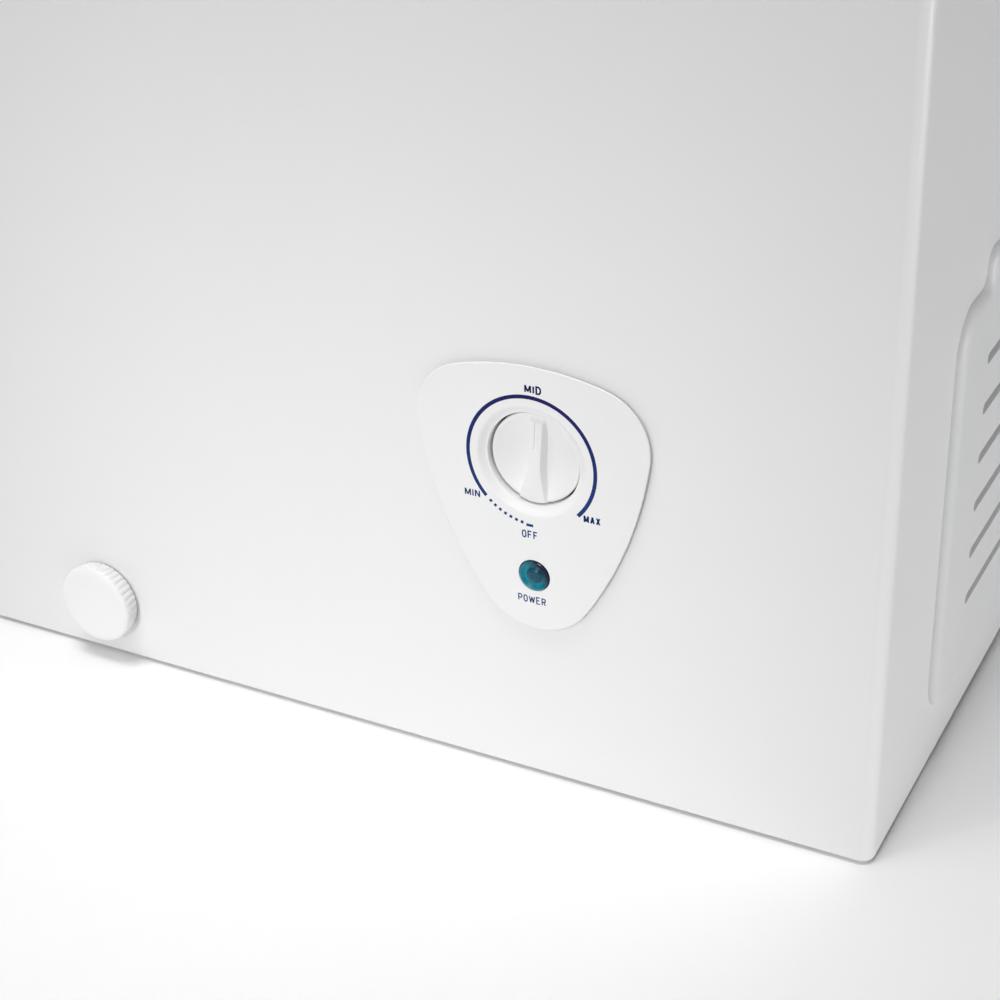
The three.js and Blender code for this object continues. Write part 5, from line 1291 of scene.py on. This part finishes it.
@dataclass
class MachineBay:
    """Compressor can and the back's fixings."""

    can_radius: float = 78.0
    can_height: float = 150.0
    plate_half: float = 73.0

    def build_compressor(self) -> None:
        """A turned can with a rolled seam, on its foot plate."""
        box = Box("compressor_shell")
        base, height, r = box.low[2] + 3, self.can_height, self.can_radius
        centre = (box.middle[0], Box("starter_cover").high[1] + r)
        profile = [(0.0, base - 2), (r - 14, base - 2), (r - 6, base + 5), (r - 2, base + 16),
                   (r - 0.4, base + 30), (r - 0.4, base + 66), (r + 0.6, base + 68), (r + 0.6, base + 74),
                   (r - 0.4, base + 76), (r - 0.6, base + height * 0.62), (r - 3, base + height * 0.74),
                   (r - 10, base + height * 0.85), (r - 26, base + height * 0.94),
                   (r - 48, base + height * 0.985), (0, base + height)]
        can = revolved("compressor_can", profile, centre, Axis.Z, 96)
        plate = rectangle(box.low[0], box.high[0], centre[1] - self.plate_half,
                          centre[1] + self.plate_half, 10)
        foot = slab("foot_plate", plate, Axis.Z, box.low[2], base)
        show(combine(can, [foot], "UNION"), BLACK_ENAMEL, "compressor_shell")

    @staticmethod
    def build_pins() -> None:
        """Turned hinge pins with peened ends."""
        for side in ("left", "right"):
            box = Box(f"hinge_pin_{side}")
            low, high = box.low[0], box.high[0]
            profile = [(0.0, low), (3.0, low + 0.1), (4, low + 1), (4, high - 1), (3, high - 0.1),
                       (0, high)]
            pin = revolved(f"hinge_pin_{side}_turned", profile, box.middle[1:], Axis.X, 32)
            show(pin, ZINC, f"hinge_pin_{side}")

    def build(self) -> None:
        """Builds the pieces."""
        self.build_compressor()
        self.build_pins()
        for side in ("left", "right"):
            build_screw(f"grille_screw_{side}", Axis.Y, 1)


# ---------------------------------------------------------------- studio


@dataclass
class Studio:
    """White floor, soft light from above and in front, a low side panel, and the camera."""

    lens: float = 67.90  # focal length for a sensor 36 mm wide
    offset: tuple[float, float, float] = (0.17453, -0.62553, 0.51951)  # metres from the corner
    up: tuple[float, float, float] = (-0.19416, 0.430061, 0.881674)  # the camera's own up
    ahead: tuple[float, float, float] = (-0.42847, 0.771332, -0.470595)  # where it looks
    sky: float = 0.04

    def build_floor(self) -> None:
        """A large pale floor."""
        points = np.array([(-9e3, -9e3, 0), (9e3, -9e3, 0), (9e3, 9e3, 0), (-9e3, 9e3, 0)], float)
        floor = new_object("studio_floor", points, [(0, 1, 2, 3)])
        material = bpy.data.materials.new("studio_floor_paint")
        material.use_nodes = True
        shader = material.node_tree.nodes["Principled BSDF"]
        shader.inputs["Base Color"].default_value = linear("FFFFFF")
        shader.inputs["Roughness"].default_value = 0.9
        floor.data.materials.append(material)
        floor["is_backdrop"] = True

    def add_panel(self, name: str, place: Point, aim: Point, size: float, power: float) -> None:
        """A round soft panel. Args: name, place, aim and size in metres, power in watts."""
        data = bpy.data.lights.new(name, "AREA")
        data.shape, data.size, data.energy = "DISK", size, power
        self.aim(name, data, place, aim)

    def add_spot(self, name: str, place: Point, aim: Point, angle: float, soft: float,
                 power: float) -> None:
        """A cone that fades to its edge. Args: name, place and aim in metres, full angle in
        radians, soft: radius of the lamp in metres, power in watts."""
        data = bpy.data.lights.new(name, "SPOT")
        data.spot_size, data.spot_blend = angle, 1.0
        data.shadow_soft_size, data.energy = soft, power
        self.aim(name, data, place, aim)

    def aim(self, name: str, data: bpy.types.Light, place: Point, aim: Point) -> None:
        """Puts a lamp in place. Args: name, data: the lamp, place and aim in metres."""
        light = bpy.data.objects.new(name, data)
        light.location = place
        light.rotation_euler = (Vector(aim) - Vector(place)).to_track_quat("-Z", "Y").to_euler()
        bpy.context.scene.collection.objects.link(light)

    def build_world(self) -> None:
        """Even white surroundings."""
        world = bpy.data.worlds.new("soft_daylight")
        world.use_nodes = True
        sky = world.node_tree.nodes["Background"]
        sky.inputs["Color"].default_value = (1, 1, 1, 1)
        sky.inputs["Strength"].default_value = self.sky
        bpy.context.scene.world = world

    def build_camera(self) -> None:
        """A camera beside the lower right corner, given from that corner."""
        low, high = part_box("outer_wrapper")
        data = bpy.data.cameras.new("camera")
        data.lens, data.sensor_width = self.lens, 36.0
        data.clip_start, data.clip_end = 0.01, 100.0
        camera = bpy.data.objects.new("camera", data)
        up, ahead = Vector(self.up), Vector(self.ahead)
        turn = Matrix((ahead.cross(up), up, -ahead)).transposed().to_4x4()
        place = Vector((high.x, low.y, low.z)) + Vector(self.offset)
        camera.matrix_world = Matrix.Translation(place) @ turn
        bpy.context.scene.collection.objects.link(camera)
        bpy.context.scene.camera = camera

    def build(self) -> None:
        """Builds the studio."""
        self.build_floor()
        self.build_world()
        self.add_panel("top_light", (0.1, -0.8, 3.0), (0.1, -0.6, 0.0), 1.2, 43)
        self.add_panel("key_light", (0.55, -3.0, 2.5), (0.2, -0.3, 0.1), 1.8, 25)
        self.add_panel("side_light", (2.6, 0.0, 0.16), (0.4, 0.0, 0.16), 0.3, 17.5)
        self.add_spot("left_spot", (-1.4, -2.6, 1.2), (0.24, -0.258, 0.03), 0.36, 0.2, 34)
        self.add_spot("front_spot", (0.1, -3.0, 0.9), (0.16, -0.258, 0.08), 0.29, 0.2, 92)
        self.build_camera()
        view = bpy.context.scene.view_settings
        view.view_transform = "Standard"
        view.look = "None"


# ---------------------------------------------------------------- the freezer


def finish_cad_nodes() -> None:
    """Gives every CAD node that stays in view its real finish."""
    for name, obj in frame["nodes"].items():
        obj.data.materials.clear()
        finish = FINISHES.get(slot_of(name))
        if finish is not None:
            obj.data.materials.append(finish.material())


def plain_box() -> list[list[float]]:
    """Returns: the object's lowest and highest corners as plain lists."""
    low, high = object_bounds()
    return [list(low), list(high)]


def main(before: list[list[float]]) -> None:
    """Builds the freezer. Args: before: the CAD model's box; not used."""
    finish_cad_nodes()
    panel, drain, vent, cabinet = ControlPanel(), Drain(), SideVent(), Cabinet()
    LOG.info("building the cabinet")
    cabinet.build_wrapper(panel, drain, vent)
    cabinet.build_tub()
    cabinet.build_top_frame()
    cabinet.build_feet()
    for assembly in (panel, drain, vent, Lid(), WireBasket(), MachineBay(), Studio()):
        LOG.info("building %s", type(assembly).__name__)
        assembly.build()


if __name__ == "__main__":
    logging.basicConfig(level=logging.INFO)
    main(plain_box())
